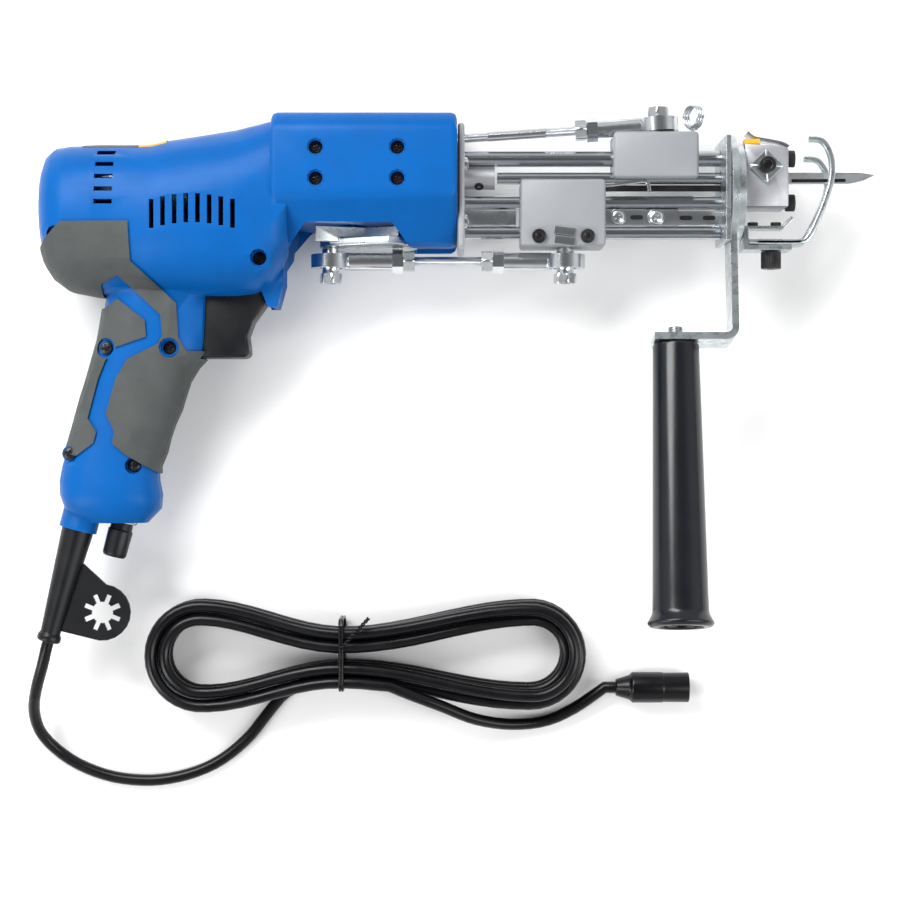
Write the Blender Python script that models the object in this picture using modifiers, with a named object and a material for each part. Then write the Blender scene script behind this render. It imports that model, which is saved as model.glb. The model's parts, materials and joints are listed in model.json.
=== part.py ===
"""Handheld tufting machine lying on its left side, with its hanked cord beside it.

X runs from the motor end to the needle tip, Y from the front handle's foot to the top of
the casing, and Z up from the surface that the machine lies on. Lengths are in metres.
"""
import math

import bmesh
import bpy
import numpy as np
from mathutils import Matrix, Vector

MM = 0.001
TURN = 2 * math.pi

# Clearances that every sub-part shares
SEAT = 0.3 * MM
RUN_CLEARANCE = 0.5 * MM
OVERRUN = 4 * MM
WELD = 0.01 * MM

# Overall datum: the machine's extents and its middle plane
REAR_X = -208 * MM
TIP_X = 208 * MM
HALF_WIDTH = 38 * MM
MID_Z = HALF_WIDTH
WALL = 2.6 * MM


def clear_scene():
    for thing in list(bpy.data.objects):
        bpy.data.objects.remove(thing, do_unlink=True)


def new_collection(name):
    group = bpy.data.collections.new(name)
    bpy.context.scene.collection.children.link(group)
    return group


clear_scene()
PARTS = new_collection("tufting_machine")
CUTTERS = new_collection("cutters")


def make_material(name, colour, roughness, metallic=0.0):
    finish = bpy.data.materials.new(name)
    finish.use_nodes = True
    shader = finish.node_tree.nodes["Principled BSDF"]
    shader.inputs["Base Color"].default_value = (*colour, 1)
    shader.inputs["Roughness"].default_value = roughness
    shader.inputs["Metallic"].default_value = metallic
    return finish


BLUE = ((0.0, 0.13, 0.52), 0.38)
GREY_RUBBER = ((0.16, 0.17, 0.16), 0.75)
BLACK = ((0.012, 0.012, 0.014), 0.45)
STEEL = ((0.62, 0.64, 0.65), 0.3, 1.0)
ALLOY = ((0.72, 0.74, 0.76), 0.42, 0.9)
NYLON = ((0.74, 0.75, 0.75), 0.5)
COPPER = ((0.6, 0.3, 0.14), 0.4, 1.0)
BRASS = ((0.7, 0.5, 0.2), 0.35, 1.0)


def link(name, mesh, finish=None):
    thing = bpy.data.objects.new(name, mesh)
    (PARTS if finish else CUTTERS).objects.link(thing)
    if finish:
        mesh.materials.clear()
        mesh.materials.append(make_material(name, *finish))
    else:
        thing.hide_render = True
        thing.display_type = "WIRE"
    return thing


def mesh_from(shape, name, keep_normals=False):
    """A mesh from a bmesh; a shell with a closed hollow inside keeps the normals that it has."""
    bmesh.ops.remove_doubles(shape, verts=shape.verts, dist=WELD)
    if not keep_normals:
        bmesh.ops.recalc_face_normals(shape, faces=shape.faces)
    mesh = bpy.data.meshes.new(name)
    shape.to_mesh(mesh)
    shape.free()
    mesh.shade_smooth()
    mesh.set_sharp_from_angle(angle=math.radians(35))
    return mesh


def settle(thing, keep_normals=False):
    """Bake the object's modifiers and its place into its mesh."""
    bpy.context.view_layer.update()
    evaluated = thing.evaluated_get(bpy.context.evaluated_depsgraph_get())
    shape = bmesh.new()
    shape.from_mesh(bpy.data.meshes.new_from_object(evaluated))
    bmesh.ops.transform(shape, matrix=thing.matrix_world, verts=shape.verts)
    return mesh_from(shape, thing.name, keep_normals)


def remade(thing, finish=None):
    """Replace a curve or a modified object by a plain mesh object of the same name."""
    mesh = settle(thing)
    name = thing.name
    bpy.data.objects.remove(thing, do_unlink=True)
    return link(name, mesh, finish)


def change(target, tool, operation):
    """Boolean the tool into the target, and drop the tool."""
    modifier = target.modifiers.new(operation.lower(), "BOOLEAN")
    modifier.operation = operation
    modifier.solver = "EXACT"
    modifier.object = tool
    finish = target.data.materials[0] if target.data.materials else None
    mesh = settle(target, keep_normals=True)
    target.modifiers.clear()
    mesh.materials.clear()
    if finish:
        mesh.materials.append(finish)
    target.data = mesh
    bpy.data.objects.remove(tool, do_unlink=True)
    return target


def cut(target, *tools):
    for tool in tools:
        change(target, tool, "DIFFERENCE")
    return target


def join(target, *tools):
    for tool in tools:
        change(target, tool, "UNION")
    return target


def keep(target, tool):
    return change(target, tool, "INTERSECT")


def mirrored(thing, name, finish):
    """The same piece on the other side of the middle plane."""
    shape = bmesh.new()
    shape.from_mesh(thing.data)
    across = Matrix.Translation((0, 0, 2 * MID_Z)) @ Matrix.Diagonal((1, 1, -1, 1))
    bmesh.ops.transform(shape, matrix=across, verts=shape.verts)
    bmesh.ops.reverse_faces(shape, faces=shape.faces)
    return link(name, mesh_from(shape, name), finish)


AXIS_TURNS = {
    "X": Matrix.Rotation(TURN / 4, 4, "Y"),
    "Y": Matrix.Rotation(-TURN / 4, 4, "X"),
    "Z": Matrix.Identity(4),
}


def bevelled(thing, width, segments, finish):
    modifier = thing.modifiers.new("rounding", "BEVEL")
    modifier.width = width
    modifier.segments = segments
    modifier.limit_method = "ANGLE"
    modifier.angle_limit = math.radians(30)
    return remade(thing, finish)


def block(name, low, high, finish=None, rounding=0, segments=2):
    """A box from its lowest to its highest corner."""
    low, high = Vector(low), Vector(high)
    shape = bmesh.new()
    bmesh.ops.create_cube(shape, size=1)
    bmesh.ops.scale(shape, vec=high - low, verts=shape.verts)
    bmesh.ops.translate(shape, vec=(low + high) / 2, verts=shape.verts)
    thing = link(name, mesh_from(shape, name), finish)
    return bevelled(thing, rounding, segments, finish) if rounding else thing


def cylinder(name, radius, start, length, axis="X", finish=None, sides=16, far_radius=None, turn=0):
    """A round or many-sided bar that starts at a point and runs along an axis."""
    shape = bmesh.new()
    far_radius = radius if far_radius is None else far_radius
    bmesh.ops.create_cone(shape, cap_ends=True, segments=sides, radius1=radius,
                          radius2=far_radius, depth=length)
    place = AXIS_TURNS[axis] @ Matrix.Translation((0, 0, length / 2)) @ Matrix.Rotation(turn, 4, "Z")
    bmesh.ops.transform(shape, matrix=Matrix.Translation(start) @ place, verts=shape.verts)
    return link(name, mesh_from(shape, name), finish)


def hexagon(name, across_flats, start, length, axis="X", finish=None):
    return cylinder(name, across_flats / math.sqrt(3), start, length, axis, finish, sides=6)


def turned(name, profile, start, axis="X", finish=None, sides=16):
    """Turn a profile of (distance along, radius) pairs, which starts and ends on the axis."""
    mesh = bpy.data.meshes.new(name)
    points = [(radius, 0, along) for along, radius in reversed(profile)]
    mesh.from_pydata(points, [(i, i + 1) for i in range(len(points) - 1)], [])
    thing = link(name, mesh)
    screw = thing.modifiers.new("turning", "SCREW")
    screw.steps = sides
    screw.render_steps = sides
    screw.use_merge_vertices = True
    screw.merge_threshold = WELD
    thing.matrix_world = Matrix.Translation(start) @ AXIS_TURNS[axis]
    return remade(thing, finish)


def outline_solid(name, outline, low, high, finish=None, plane="XY", rounding=0):
    """Extrude a flat outline, drawn in XY, XZ or YZ, between two heights on the third axis."""
    curve = bpy.data.curves.new(name, "CURVE")
    curve.dimensions = "2D"
    curve.fill_mode = "BOTH"
    curve.extrude = (high - low) / 2
    spline = curve.splines.new("POLY")
    spline.points.add(len(outline) - 1)
    for point, (across, up) in zip(spline.points, outline):
        point.co = (across, up, 0, 1)
    spline.use_cyclic_u = True
    frames = {
        "XY": Matrix.Identity(4),
        "XZ": Matrix(((1, 0, 0, 0), (0, 0, 1, 0), (0, 1, 0, 0), (0, 0, 0, 1))),
        "YZ": Matrix(((0, 0, 1, 0), (1, 0, 0, 0), (0, 1, 0, 0), (0, 0, 0, 1))),
    }
    thing = link(name, curve)
    thing.matrix_world = frames[plane] @ Matrix.Translation((0, 0, (low + high) / 2))
    thing = remade(thing, None if rounding else finish)
    return bevelled(thing, rounding, 2, finish) if rounding else thing


def tube(name, points, radius, finish=None, resolution=2):
    """A wire or cord along the given points, with filled ends."""
    curve = bpy.data.curves.new(name, "CURVE")
    curve.dimensions = "3D"
    curve.bevel_depth = radius
    curve.bevel_resolution = resolution
    curve.use_fill_caps = True
    spline = curve.splines.new("POLY")
    spline.points.add(len(points) - 1)
    for point, place in zip(spline.points, points):
        point.co = (*place, 1)
    return remade(link(name, curve), finish)


def loft(name, rings, finish=None):
    """Skin a run of rings with the same number of points, and close both ends."""
    shape = bmesh.new()
    rows = [[shape.verts.new(point) for point in ring] for ring in rings]
    for near, far in zip(rows, rows[1:]):
        for i in range(len(near)):
            j = (i + 1) % len(near)
            shape.faces.new((near[i], near[j], far[j], far[i]))
    shape.faces.new(rows[0])
    shape.faces.new(reversed(rows[-1]))
    return link(name, mesh_from(shape, name), finish)


def rounded_ring(half_width, half_height, squareness, sides):
    """Points of a superellipse about its own centre, as (width, height) rows."""
    angle = (np.arange(sides) + 0.5) * TURN / sides
    power = 2 / squareness
    across = half_width * np.sign(np.cos(angle)) * np.abs(np.cos(angle)) ** power
    up = half_height * np.sign(np.sin(angle)) * np.abs(np.sin(angle)) ** power
    return np.stack([across, up], axis=1)


def smooth_path(route, step):
    """Points every step along a Catmull-Rom curve through the route's own points."""
    route = [Vector(point) for point in route]
    ends = [2 * route[0] - route[1]] + route + [2 * route[-1] - route[-2]]
    fine = []
    for before, start, end, after in zip(ends, ends[1:], ends[2:], ends[3:]):
        for share in np.linspace(0, 1, 40, endpoint=False):
            fine.append(0.5 * ((2 * start) + (end - before) * share
                               + (2 * before - 5 * start + 4 * end - after) * share ** 2
                               + (3 * start - before - 3 * end + after) * share ** 3))
    fine = np.array([tuple(point) for point in fine] + [tuple(route[-1])])
    travel = np.concatenate([[0], np.cumsum(np.linalg.norm(np.diff(fine, axis=0), axis=1))])
    stops = np.linspace(0, travel[-1], max(2, round(travel[-1] / step) + 1))
    return np.stack([np.interp(stops, travel, fine[:, i]) for i in range(3)], axis=1)


def merged(name, tools):
    """Gather cutters that don't touch into one, so that one Boolean uses them all."""
    shape = bmesh.new()
    for tool in tools:
        shape.from_mesh(tool.data)
        bpy.data.objects.remove(tool, do_unlink=True)
    return link(name, mesh_from(shape, name))


# Casing: motor barrel, front gear case, trigger guard and grip
FRONT_CASE_END_X = -1 * MM
FRONT_CASE_LENGTH = 90.5 * MM
# The barrel ends inside the front case
BARREL_OVERLAP = 7.5 * MM
BARREL_LENGTH = FRONT_CASE_END_X - FRONT_CASE_LENGTH + BARREL_OVERLAP - REAR_X
BARREL_HEIGHT = 89.25 * MM
BARREL_SIDES = 20
CASING_TOP_Y = 125.75 * MM
# Shares of the barrel's length, of its height (top and bottom), of the half width; squareness
BARREL_STATION_SHARES = (
    (0.0, 0.345, 0.647, 0.34, 2.2),
    (0.012, 0.26, 0.742, 0.54, 2.2),
    (0.032, 0.199, 0.82, 0.71, 2.3),
    (0.065, 0.162, 0.888, 0.83, 2.4),
    (0.125, 0.151, 0.95, 0.9, 2.5),
    (0.23, 0.148, 0.978, 0.92, 2.6),
    (0.391, 0.148, 0.983, 0.92, 2.6),
    (0.456, 0.143, 0.989, 0.95, 2.6),
    (0.52, 0.12, 0.994, 1.0, 2.5),
    (0.653, 0.092, 1.0, 1.0, 2.5),
    (0.786, 0.062, 1.0, 1.0, 2.5),
    (0.867, 0.036, 0.983, 0.96, 2.8),
    (0.935, 0.014, 0.933, 0.935, 3.2),
    (1.0, 0.0, 0.787, 0.92, 3.6),
)

FRONT_CASE_HEIGHT = 65 * MM
SIDE_FLAT_HEIGHT = 34 * MM
SHOULDER_DROP = 7 * MM
TOP_FLAT_HALF = 31 * MM
BOTTOM_FLAT_HALF = 20 * MM
CASE_ROUNDING = 3 * MM

GRIP_TOP_Y = 51 * MM
GRIP_HEIGHT = 126 * MM
GRIP_REAR_X = -199.5 * MM
GRIP_REACH = 77.5 * MM
GRIP_HALF_WIDTH = 20 * MM
GRIP_SIDES = 16
GRIP_SQUARENESS = 2.6
FINGER_RIDGE = 0.9 * MM
FINGER_RIDGE_COUNT = 4
FINGER_ZONE_SHARES = (0.44, 0.76)
# Shares of the grip's height, of its reach (rear and front), of its half width
GRIP_STATION_SHARES = (
    (0.0, 0.335, 0.994, 1.0),
    (0.119, 0.303, 0.987, 0.98),
    (0.278, 0.258, 0.98, 0.95),
    (0.345, 0.226, 0.968, 0.93),
    (0.389, 0.206, 0.884, 0.9),
    (0.456, 0.174, 0.819, 0.88),
    (0.516, 0.142, 0.787, 0.87),
    (0.635, 0.09, 0.716, 0.87),
    (0.754, 0.032, 0.652, 0.9),
    (0.806, 0.01, 0.632, 0.93),
    (0.865, 0.0, 0.658, 0.98),
    (0.925, 0.019, 0.668, 0.98),
    (0.968, 0.065, 0.639, 0.9),
    (1.0, 0.18, 0.568, 0.6),
)
GRIP_LEVELS = 19

# The crankshaft stands across the case, and its lower crank turns in a recess
CRANK_X = -54 * MM
CRANK_THROW = 10 * MM
CRANK_SWEEP = 34 * MM
CRANK_WEB = 4 * MM
COUNTERWEIGHT_WALL = 6 * MM
EYE_WIDTH = 6.75 * MM
BALL_RADIUS = 5.5 * MM
BALL_WIDTH = 9 * MM
LOWER_LINK_Y = 55.5 * MM
LOWER_STEM = 6.25 * MM
LOWER_CRANK_BASE_Y = LOWER_LINK_Y + LOWER_STEM + SEAT
RECESS_ROOF_Y = LOWER_CRANK_BASE_Y + CRANK_WEB + COUNTERWEIGHT_WALL + RUN_CLEARANCE
CASE_FLOOR_Y = RECESS_ROOF_Y + WALL
RECESS_RADIUS = CRANK_SWEEP + 3 * RUN_CLEARANCE
SHAFT_ROOM_RADIUS = 9 * MM
ROTOR_PASSAGE_RADIUS = 12 * MM
CHANNEL_HALF_WIDTH = 13 * MM
CHANNEL_DEPTH = 2 * MM

TRIGGER_HALF_WIDTH = 10 * MM
TRIGGER_TRAVEL = 6 * MM
TRIGGER_REAR_X = -126 * MM
TRIGGER_TOP_Y = 43 * MM
TRIGGER_HEIGHT = 36 * MM
TRIGGER_REACH = 33 * MM
GUARD_HALF_WIDTH = 13 * MM
GUARD_REACH = 13.5 * MM
GUARD_DROP = 22 * MM


def barrel(name, inset, finish=None, step=1):
    rings = []
    for along, top, bottom, width, squareness in BARREL_STATION_SHARES[::step]:
        x = REAR_X + inset + along * (BARREL_LENGTH - 2 * inset)
        high = CASING_TOP_Y - top * BARREL_HEIGHT - inset
        low = CASING_TOP_Y - bottom * BARREL_HEIGHT + inset
        ring = rounded_ring(width * HALF_WIDTH - inset, (high - low) / 2, squareness, BARREL_SIDES // step)
        rings.append([(x, (high + low) / 2 + up, MID_Z + across) for across, up in ring])
    return loft(name, rings, finish)


def front_case(name, inset, floor_y, front_x, rounding):
    half = [
        (CASING_TOP_Y - inset, TOP_FLAT_HALF - inset / 2),
        (CASING_TOP_Y - SHOULDER_DROP - inset / 2, HALF_WIDTH - inset),
        (CASING_TOP_Y - SHOULDER_DROP - SIDE_FLAT_HEIGHT + inset / 2, HALF_WIDTH - inset),
    ]
    slope_start_y, slope_end_y = half[-1][0], CASING_TOP_Y - FRONT_CASE_HEIGHT + inset
    share = (slope_start_y - floor_y) / (slope_start_y - slope_end_y)
    half.append((floor_y, HALF_WIDTH - inset - share * (HALF_WIDTH - BOTTOM_FLAT_HALF)))
    outline = [(y, MID_Z + z) for y, z in half] + [(y, MID_Z - z) for y, z in reversed(half)]
    return outline_solid(name, outline, FRONT_CASE_END_X - FRONT_CASE_LENGTH + inset, front_x,
                         plane="YZ", rounding=rounding)


def grip(name, inset, levels, sides):
    shares = np.array(GRIP_STATION_SHARES)
    zone_start, zone_end = FINGER_ZONE_SHARES
    rings = []
    for down in np.linspace(0, 1, levels):
        rear, front, width = (np.interp(down, shares[:, 0], shares[:, i]) for i in (1, 2, 3))
        y = GRIP_TOP_Y - down * GRIP_HEIGHT + (inset if down == 1 else 0)
        rear_x = GRIP_REAR_X + rear * GRIP_REACH + inset
        front_x = GRIP_REAR_X + front * GRIP_REACH - inset
        if zone_start < down < zone_end:
            phase = (down - zone_start) / (zone_end - zone_start)
            front_x += FINGER_RIDGE * math.sin(TURN * FINGER_RIDGE_COUNT * phase / 2) ** 2
        ring = rounded_ring((front_x - rear_x) / 2, width * GRIP_HALF_WIDTH - inset, GRIP_SQUARENESS, sides)
        rings.append([((rear_x + front_x) / 2 + across, y, MID_Z + up) for across, up in ring])
    return loft(name, rings)


# The cord collar and its gland follow the slant of the grip
GRIP_SLANT = math.radians(14.9)
CORD_EXIT = Vector((-188.5 * MM, -70.75 * MM, MID_Z))
CORD_DIRECTION = Vector((-math.sin(GRIP_SLANT), -math.cos(GRIP_SLANT), 0))
COLLAR_RADIUS = 9.5 * MM
COLLAR_LENGTH = 8 * MM
GLAND_RADIUS = 8 * MM
GLAND_TIP_RADIUS = 5 * MM
GLAND_LENGTH = 66 * MM
GLAND_SOCKET_DEPTH = 10 * MM


def along_cord(distance):
    return CORD_EXIT + distance * CORD_DIRECTION


def slanted(name, profile, start, direction, finish=None, sides=16):
    """Turn a profile about a line that leaves a point in any direction."""
    thing = turned(name, profile, (0, 0, 0), "Z", None, sides)
    spin = Vector((0, 0, 1)).rotation_difference(direction).to_matrix().to_4x4()
    thing.matrix_world = Matrix.Translation(start) @ spin
    return remade(thing, finish)


def bar_profile(radius, length, far_radius=None):
    return [(0, 0), (0, radius), (length, radius if far_radius is None else far_radius), (length, 0)]


SCREW_HOLE_RADIUS = 4.2 * MM
CASING_LENGTH = FRONT_CASE_END_X - REAR_X
CASING_HEIGHT = CASING_TOP_Y - GRIP_TOP_Y + GRIP_HEIGHT
# Shares of the casing's length and height
SCREW_HOLE_SHARES = (
    (0.669, 0.0898), (0.669, 0.1646), (0.860, 0.0898), (0.860, 0.1646), (0.053, 0.2968),
    (0.534, 0.354), (0.3155, 0.5686), (0.163, 0.5686), (0.0749, 0.828), (0.2295, 0.858),
)
REAR_SLOT_COUNT = 5
REAR_SLOT_SIZE = (9 * MM, 2.2 * MM)
REAR_SLOT_SHARES = (0.170, 0.094, 0.0313)
FAN_SLOT_COUNT = 8
FAN_SLOT_SIZE = (2.3 * MM, 14 * MM)
FAN_SLOT_SHARES = (0.285, 0.0272, 0.236)
WINDOW_DEPTH = 12 * MM


def at_share(along, down):
    return REAR_X + along * CASING_LENGTH, CASING_TOP_Y - down * CASING_HEIGHT


def side_windows():
    """Screw wells and cooling slots through the right side's wall."""
    low, high = MID_Z + WINDOW_DEPTH, MID_Z + HALF_WIDTH + OVERRUN
    tools = []
    for along, down in SCREW_HOLE_SHARES:
        x, y = at_share(along, down)
        tools.append(cylinder("well", SCREW_HOLE_RADIUS, (x, y, low), high - low, "Z", sides=10))
    for i in range(REAR_SLOT_COUNT):
        along, down, pitch = REAR_SLOT_SHARES
        x, y = at_share(along, down + i * pitch)
        width, height = REAR_SLOT_SIZE
        tools.append(block("slot", (x - width / 2, y - height / 2, low),
                           (x + width / 2, y + height / 2, high)))
    for i in range(FAN_SLOT_COUNT):
        along, pitch, down = FAN_SLOT_SHARES
        x, y = at_share(along + i * pitch, down)
        width, height = FAN_SLOT_SIZE
        bow = height / 6 * (1 - math.cos((i - (FAN_SLOT_COUNT - 1) / 2) / 2))
        tools.append(block("slot", (x - width / 2, y - height / 2 - bow, low),
                           (x + width / 2, y + height / 2 - bow, high)))
    return merged("side_windows", tools)


def right_half():
    """Everything on the right of the middle plane, less half the seam."""
    reach = 2 * CASING_LENGTH
    return block("right_half", (REAR_X - reach, -reach, MID_Z + SEAT / 2),
                 (REAR_X + 2 * reach, reach, MID_Z + 2 * HALF_WIDTH))


def guard_outline():
    """The lip that hangs in front of the trigger, as (x, y) points."""
    front_x = TRIGGER_REAR_X + TRIGGER_REACH + GUARD_REACH - TRIGGER_TRAVEL
    low_y = TRIGGER_TOP_Y - GUARD_DROP / 2
    return [
        (TRIGGER_REAR_X, TRIGGER_TOP_Y + GUARD_DROP), (front_x, TRIGGER_TOP_Y + GUARD_DROP),
        (front_x, TRIGGER_TOP_Y + GUARD_DROP / 4), (front_x - GUARD_REACH / 3, low_y),
        (front_x - GUARD_REACH * 2 / 3, low_y), (front_x - GUARD_REACH, TRIGGER_TOP_Y),
        (TRIGGER_REAR_X, TRIGGER_TOP_Y),
    ]


def trigger_pocket():
    half = TRIGGER_HALF_WIDTH + RUN_CLEARANCE
    return block("trigger_pocket",
                 (TRIGGER_REAR_X - TRIGGER_TRAVEL - OVERRUN, TRIGGER_TOP_Y - TRIGGER_HEIGHT - RUN_CLEARANCE,
                  MID_Z - half),
                 (TRIGGER_REAR_X + TRIGGER_REACH + RUN_CLEARANCE, TRIGGER_TOP_Y + RUN_CLEARANCE,
                  MID_Z + half))


def build_casing():
    shell = barrel("casing_right", 0, BLUE)
    join(shell, front_case("front", 0, CASING_TOP_Y - FRONT_CASE_HEIGHT, FRONT_CASE_END_X, CASE_ROUNDING))
    join(shell, grip("grip", 0, GRIP_LEVELS, GRIP_SIDES))
    join(shell, outline_solid("guard", guard_outline(), MID_Z - GUARD_HALF_WIDTH, MID_Z + GUARD_HALF_WIDTH))
    join(shell, slanted("collar", bar_profile(COLLAR_RADIUS, COLLAR_LENGTH + GLAND_SOCKET_DEPTH),
                        along_cord(-GLAND_SOCKET_DEPTH), CORD_DIRECTION))
    cut(shell, barrel("barrel_room", WALL, step=2),
        grip("grip_room", WALL, GRIP_LEVELS // 2, GRIP_SIDES // 2))
    cut(shell, front_case("front_room", WALL, CASE_FLOOR_Y, FRONT_CASE_END_X + OVERRUN, 0))
    cut(shell, cylinder("crank_recess", RECESS_RADIUS, (CRANK_X, CASING_TOP_Y - CASING_HEIGHT / 2, MID_Z),
                        RECESS_ROOF_Y - CASING_TOP_Y + CASING_HEIGHT / 2, "Y", sides=28))
    cut(shell,
        block("link_channel",
              (CRANK_X, CASING_TOP_Y - FRONT_CASE_HEIGHT - OVERRUN, MID_Z - CHANNEL_HALF_WIDTH),
              (FRONT_CASE_END_X + OVERRUN, CASING_TOP_Y - FRONT_CASE_HEIGHT + CHANNEL_DEPTH,
               MID_Z + CHANNEL_HALF_WIDTH)))
    cut(shell, trigger_pocket())
    cut(shell, cylinder("shaft_room", SHAFT_ROOM_RADIUS, (CRANK_X, RECESS_ROOF_Y - OVERRUN, MID_Z),
                        WALL + 2 * OVERRUN, "Y", sides=16))
    cut(shell,
        cylinder("rotor_room", ROTOR_PASSAGE_RADIUS,
                 (FRONT_CASE_END_X - FRONT_CASE_LENGTH - OVERRUN, MOTOR_Y, MID_Z), 3 * OVERRUN, "X", sides=12))
    cut(shell,
        slanted("gland_socket", bar_profile(GLAND_RADIUS + SEAT, COLLAR_LENGTH + 2 * GLAND_SOCKET_DEPTH),
                along_cord(-GLAND_SOCKET_DEPTH - SEAT), CORD_DIRECTION))
    return shell


# Rubber pads moulded over the casing
PAD_THICKNESS = 1.2 * MM
PAD_BOSS_RADIUS = 5 * MM
PAD_BOSS_SHARES = ((0.3155, 0.5686), (0.163, 0.5686))
# Outlines as shares of the casing's length and height
FINGER_PAD_SHARES = (
    (0.070, 0.267), (0.229, 0.266), (0.233, 0.362), (0.333, 0.460), (0.338, 0.544), (0.355, 0.576),
    (0.415, 0.576), (0.415, 0.746), (0.355, 0.820), (0.319, 0.905), (0.280, 0.873), (0.210, 0.830),
    (0.180, 0.804), (0.185, 0.775), (0.165, 0.731), (0.188, 0.646), (0.217, 0.596), (0.290, 0.559),
    (0.300, 0.540), (0.296, 0.489), (0.199, 0.395), (0.158, 0.415), (0.147, 0.461), (-0.017, 0.461),
    (-0.017, 0.352),
)
PALM_PAD_SHARES = (
    (0.118, 0.470), (0.159, 0.470), (0.192, 0.448), (0.259, 0.502), (0.262, 0.542), (0.177, 0.571),
    (0.162, 0.601), (0.144, 0.646), (0.120, 0.742), (0.142, 0.775), (0.135, 0.802), (0.094, 0.833),
    (0.017, 0.825), (0.031, 0.696), (0.089, 0.546),
)


def build_pad(name, outline_shares):
    """A skin over the barrel and the grip, trimmed to an outline on the right side."""
    pad = barrel(name, -PAD_THICKNESS, GREY_RUBBER)
    join(pad, grip("grip_skin", -PAD_THICKNESS, GRIP_LEVELS, GRIP_SIDES))
    cut(pad, barrel("barrel_core", -SEAT), grip("grip_core", -SEAT, GRIP_LEVELS, GRIP_SIDES))
    low, high = MID_Z + SEAT / 2, MID_Z + HALF_WIDTH + OVERRUN
    outline = [at_share(along, down) for along, down in outline_shares]
    keep(pad, outline_solid("trim", outline, low, high))
    for along, down in PAD_BOSS_SHARES:
        x, y = at_share(along, down)
        cut(pad, cylinder("boss_room", PAD_BOSS_RADIUS, (x, y, low), high - low, "Z", sides=12))
    return cut(pad, trigger_pocket())


def build_shells():
    """The two casing halves and their pads, which mirror each other."""
    shell = build_casing()
    keep(shell, right_half())
    cut(shell, side_windows())
    shaft_hole = bar_profile(POT_SHAFT_RADIUS + RUN_CLEARANCE, 2 * WALL + KNOB_LENGTH)
    cut(shell, slanted("shaft_hole", shaft_hole, KNOB_TOP - 2 * WALL * CORD_DIRECTION, CORD_DIRECTION))
    cut(shell, slanted("knob_seat", bar_profile(KNOB_RADIUS + RUN_CLEARANCE, KNOB_LENGTH), KNOB_TOP,
                       CORD_DIRECTION))
    mirrored(shell, "casing_left", BLUE)
    for name, shares in (("finger_pad_", FINGER_PAD_SHARES), ("palm_pad_", PALM_PAD_SHARES)):
        mirrored(build_pad(name + "right", shares), name + "left", GREY_RUBBER)


# Trigger, switch and speed knob
# Shares of the trigger's reach and height, from its rear top corner
TRIGGER_SHARES = (
    (-0.12, 0.0), (0.14, 0.0), (0.82, -0.01), (0.98, 0.14), (0.88, 0.3), (0.72, 0.5), (0.64, 0.7),
    (0.66, 0.84), (0.67, 0.96), (0.6, 1.0), (-0.12, 1.0),
)
SWITCH_LENGTH = 22 * MM
SWITCH_HEIGHT = 30 * MM
SWITCH_HALF_WIDTH = 11.8 * MM
KNOB_RADIUS = 6.2 * MM
KNOB_LENGTH = 18 * MM
KNOB_TOP = Vector((-168 * MM, -74.5 * MM, MID_Z))
POT_RADIUS = 7 * MM
POT_LENGTH = 12 * MM
POT_SHAFT_RADIUS = 3 * MM
POT_DEPTH = 6 * MM


def build_controls():
    outline = [(TRIGGER_REAR_X + along * TRIGGER_REACH, TRIGGER_TOP_Y - down * TRIGGER_HEIGHT)
               for along, down in TRIGGER_SHARES]
    outline_solid("trigger", outline, MID_Z - TRIGGER_HALF_WIDTH, MID_Z + TRIGGER_HALF_WIDTH, BLACK,
                  rounding=CASE_ROUNDING / 2)
    switch_front_x = TRIGGER_REAR_X - 0.12 * TRIGGER_REACH - TRIGGER_TRAVEL - SEAT
    block("switch_module",
          (switch_front_x - SWITCH_LENGTH, TRIGGER_TOP_Y - SWITCH_HEIGHT, MID_Z - SWITCH_HALF_WIDTH),
          (switch_front_x, TRIGGER_TOP_Y, MID_Z + SWITCH_HALF_WIDTH), BLACK, CASE_ROUNDING / 3, 1)
    profile = [
        (-POT_DEPTH, 0), (-POT_DEPTH, POT_SHAFT_RADIUS), (SEAT, POT_SHAFT_RADIUS),
        (SEAT, KNOB_RADIUS * 0.9),
        (KNOB_LENGTH / 3, KNOB_RADIUS), (KNOB_LENGTH * 0.9, KNOB_RADIUS), (KNOB_LENGTH, KNOB_RADIUS * 0.85),
        (KNOB_LENGTH, 0),
    ]
    slanted("speed_knob", profile, KNOB_TOP, CORD_DIRECTION, BLACK)
    slanted("speed_control", bar_profile(POT_RADIUS, POT_LENGTH),
            KNOB_TOP - (POT_DEPTH + POT_LENGTH + SEAT) * CORD_DIRECTION, CORD_DIRECTION, STEEL, 16)


# Crankshaft and its gearbox
HOUSING_FLOOR = 5 * MM
HOUSING_CEILING = 5.5 * MM
HOUSING_REACH = 26 * MM
HOUSING_REAR_X = CRANK_X - HOUSING_REACH
HOUSING_SET_BACK = 0.5 * MM
HOUSING_FRONT_X = FRONT_CASE_END_X - HOUSING_SET_BACK
HOUSING_HALF_WIDTH = 25 * MM
SHAFT_RADIUS = 4 * MM
BEARING_RADIUS = 8 * MM
WHEEL_RADIUS = 20 * MM
WHEEL_ROOT_RADIUS = 18.2 * MM
WHEEL_TEETH = 24
WHEEL_THICKNESS = 4 * MM
PINION_RADIUS = 5.5 * MM
PINION_ROOT_RADIUS = 4.2 * MM
PINION_TEETH = 8
PINION_LENGTH = 10 * MM
HOUSING_BASE_Y = CASE_FLOOR_Y + SEAT
WHEEL_BASE_Y = HOUSING_BASE_Y + HOUSING_FLOOR + RUN_CLEARANCE
MOTOR_Y = WHEEL_BASE_Y + WHEEL_THICKNESS + SEAT + PINION_RADIUS

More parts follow.
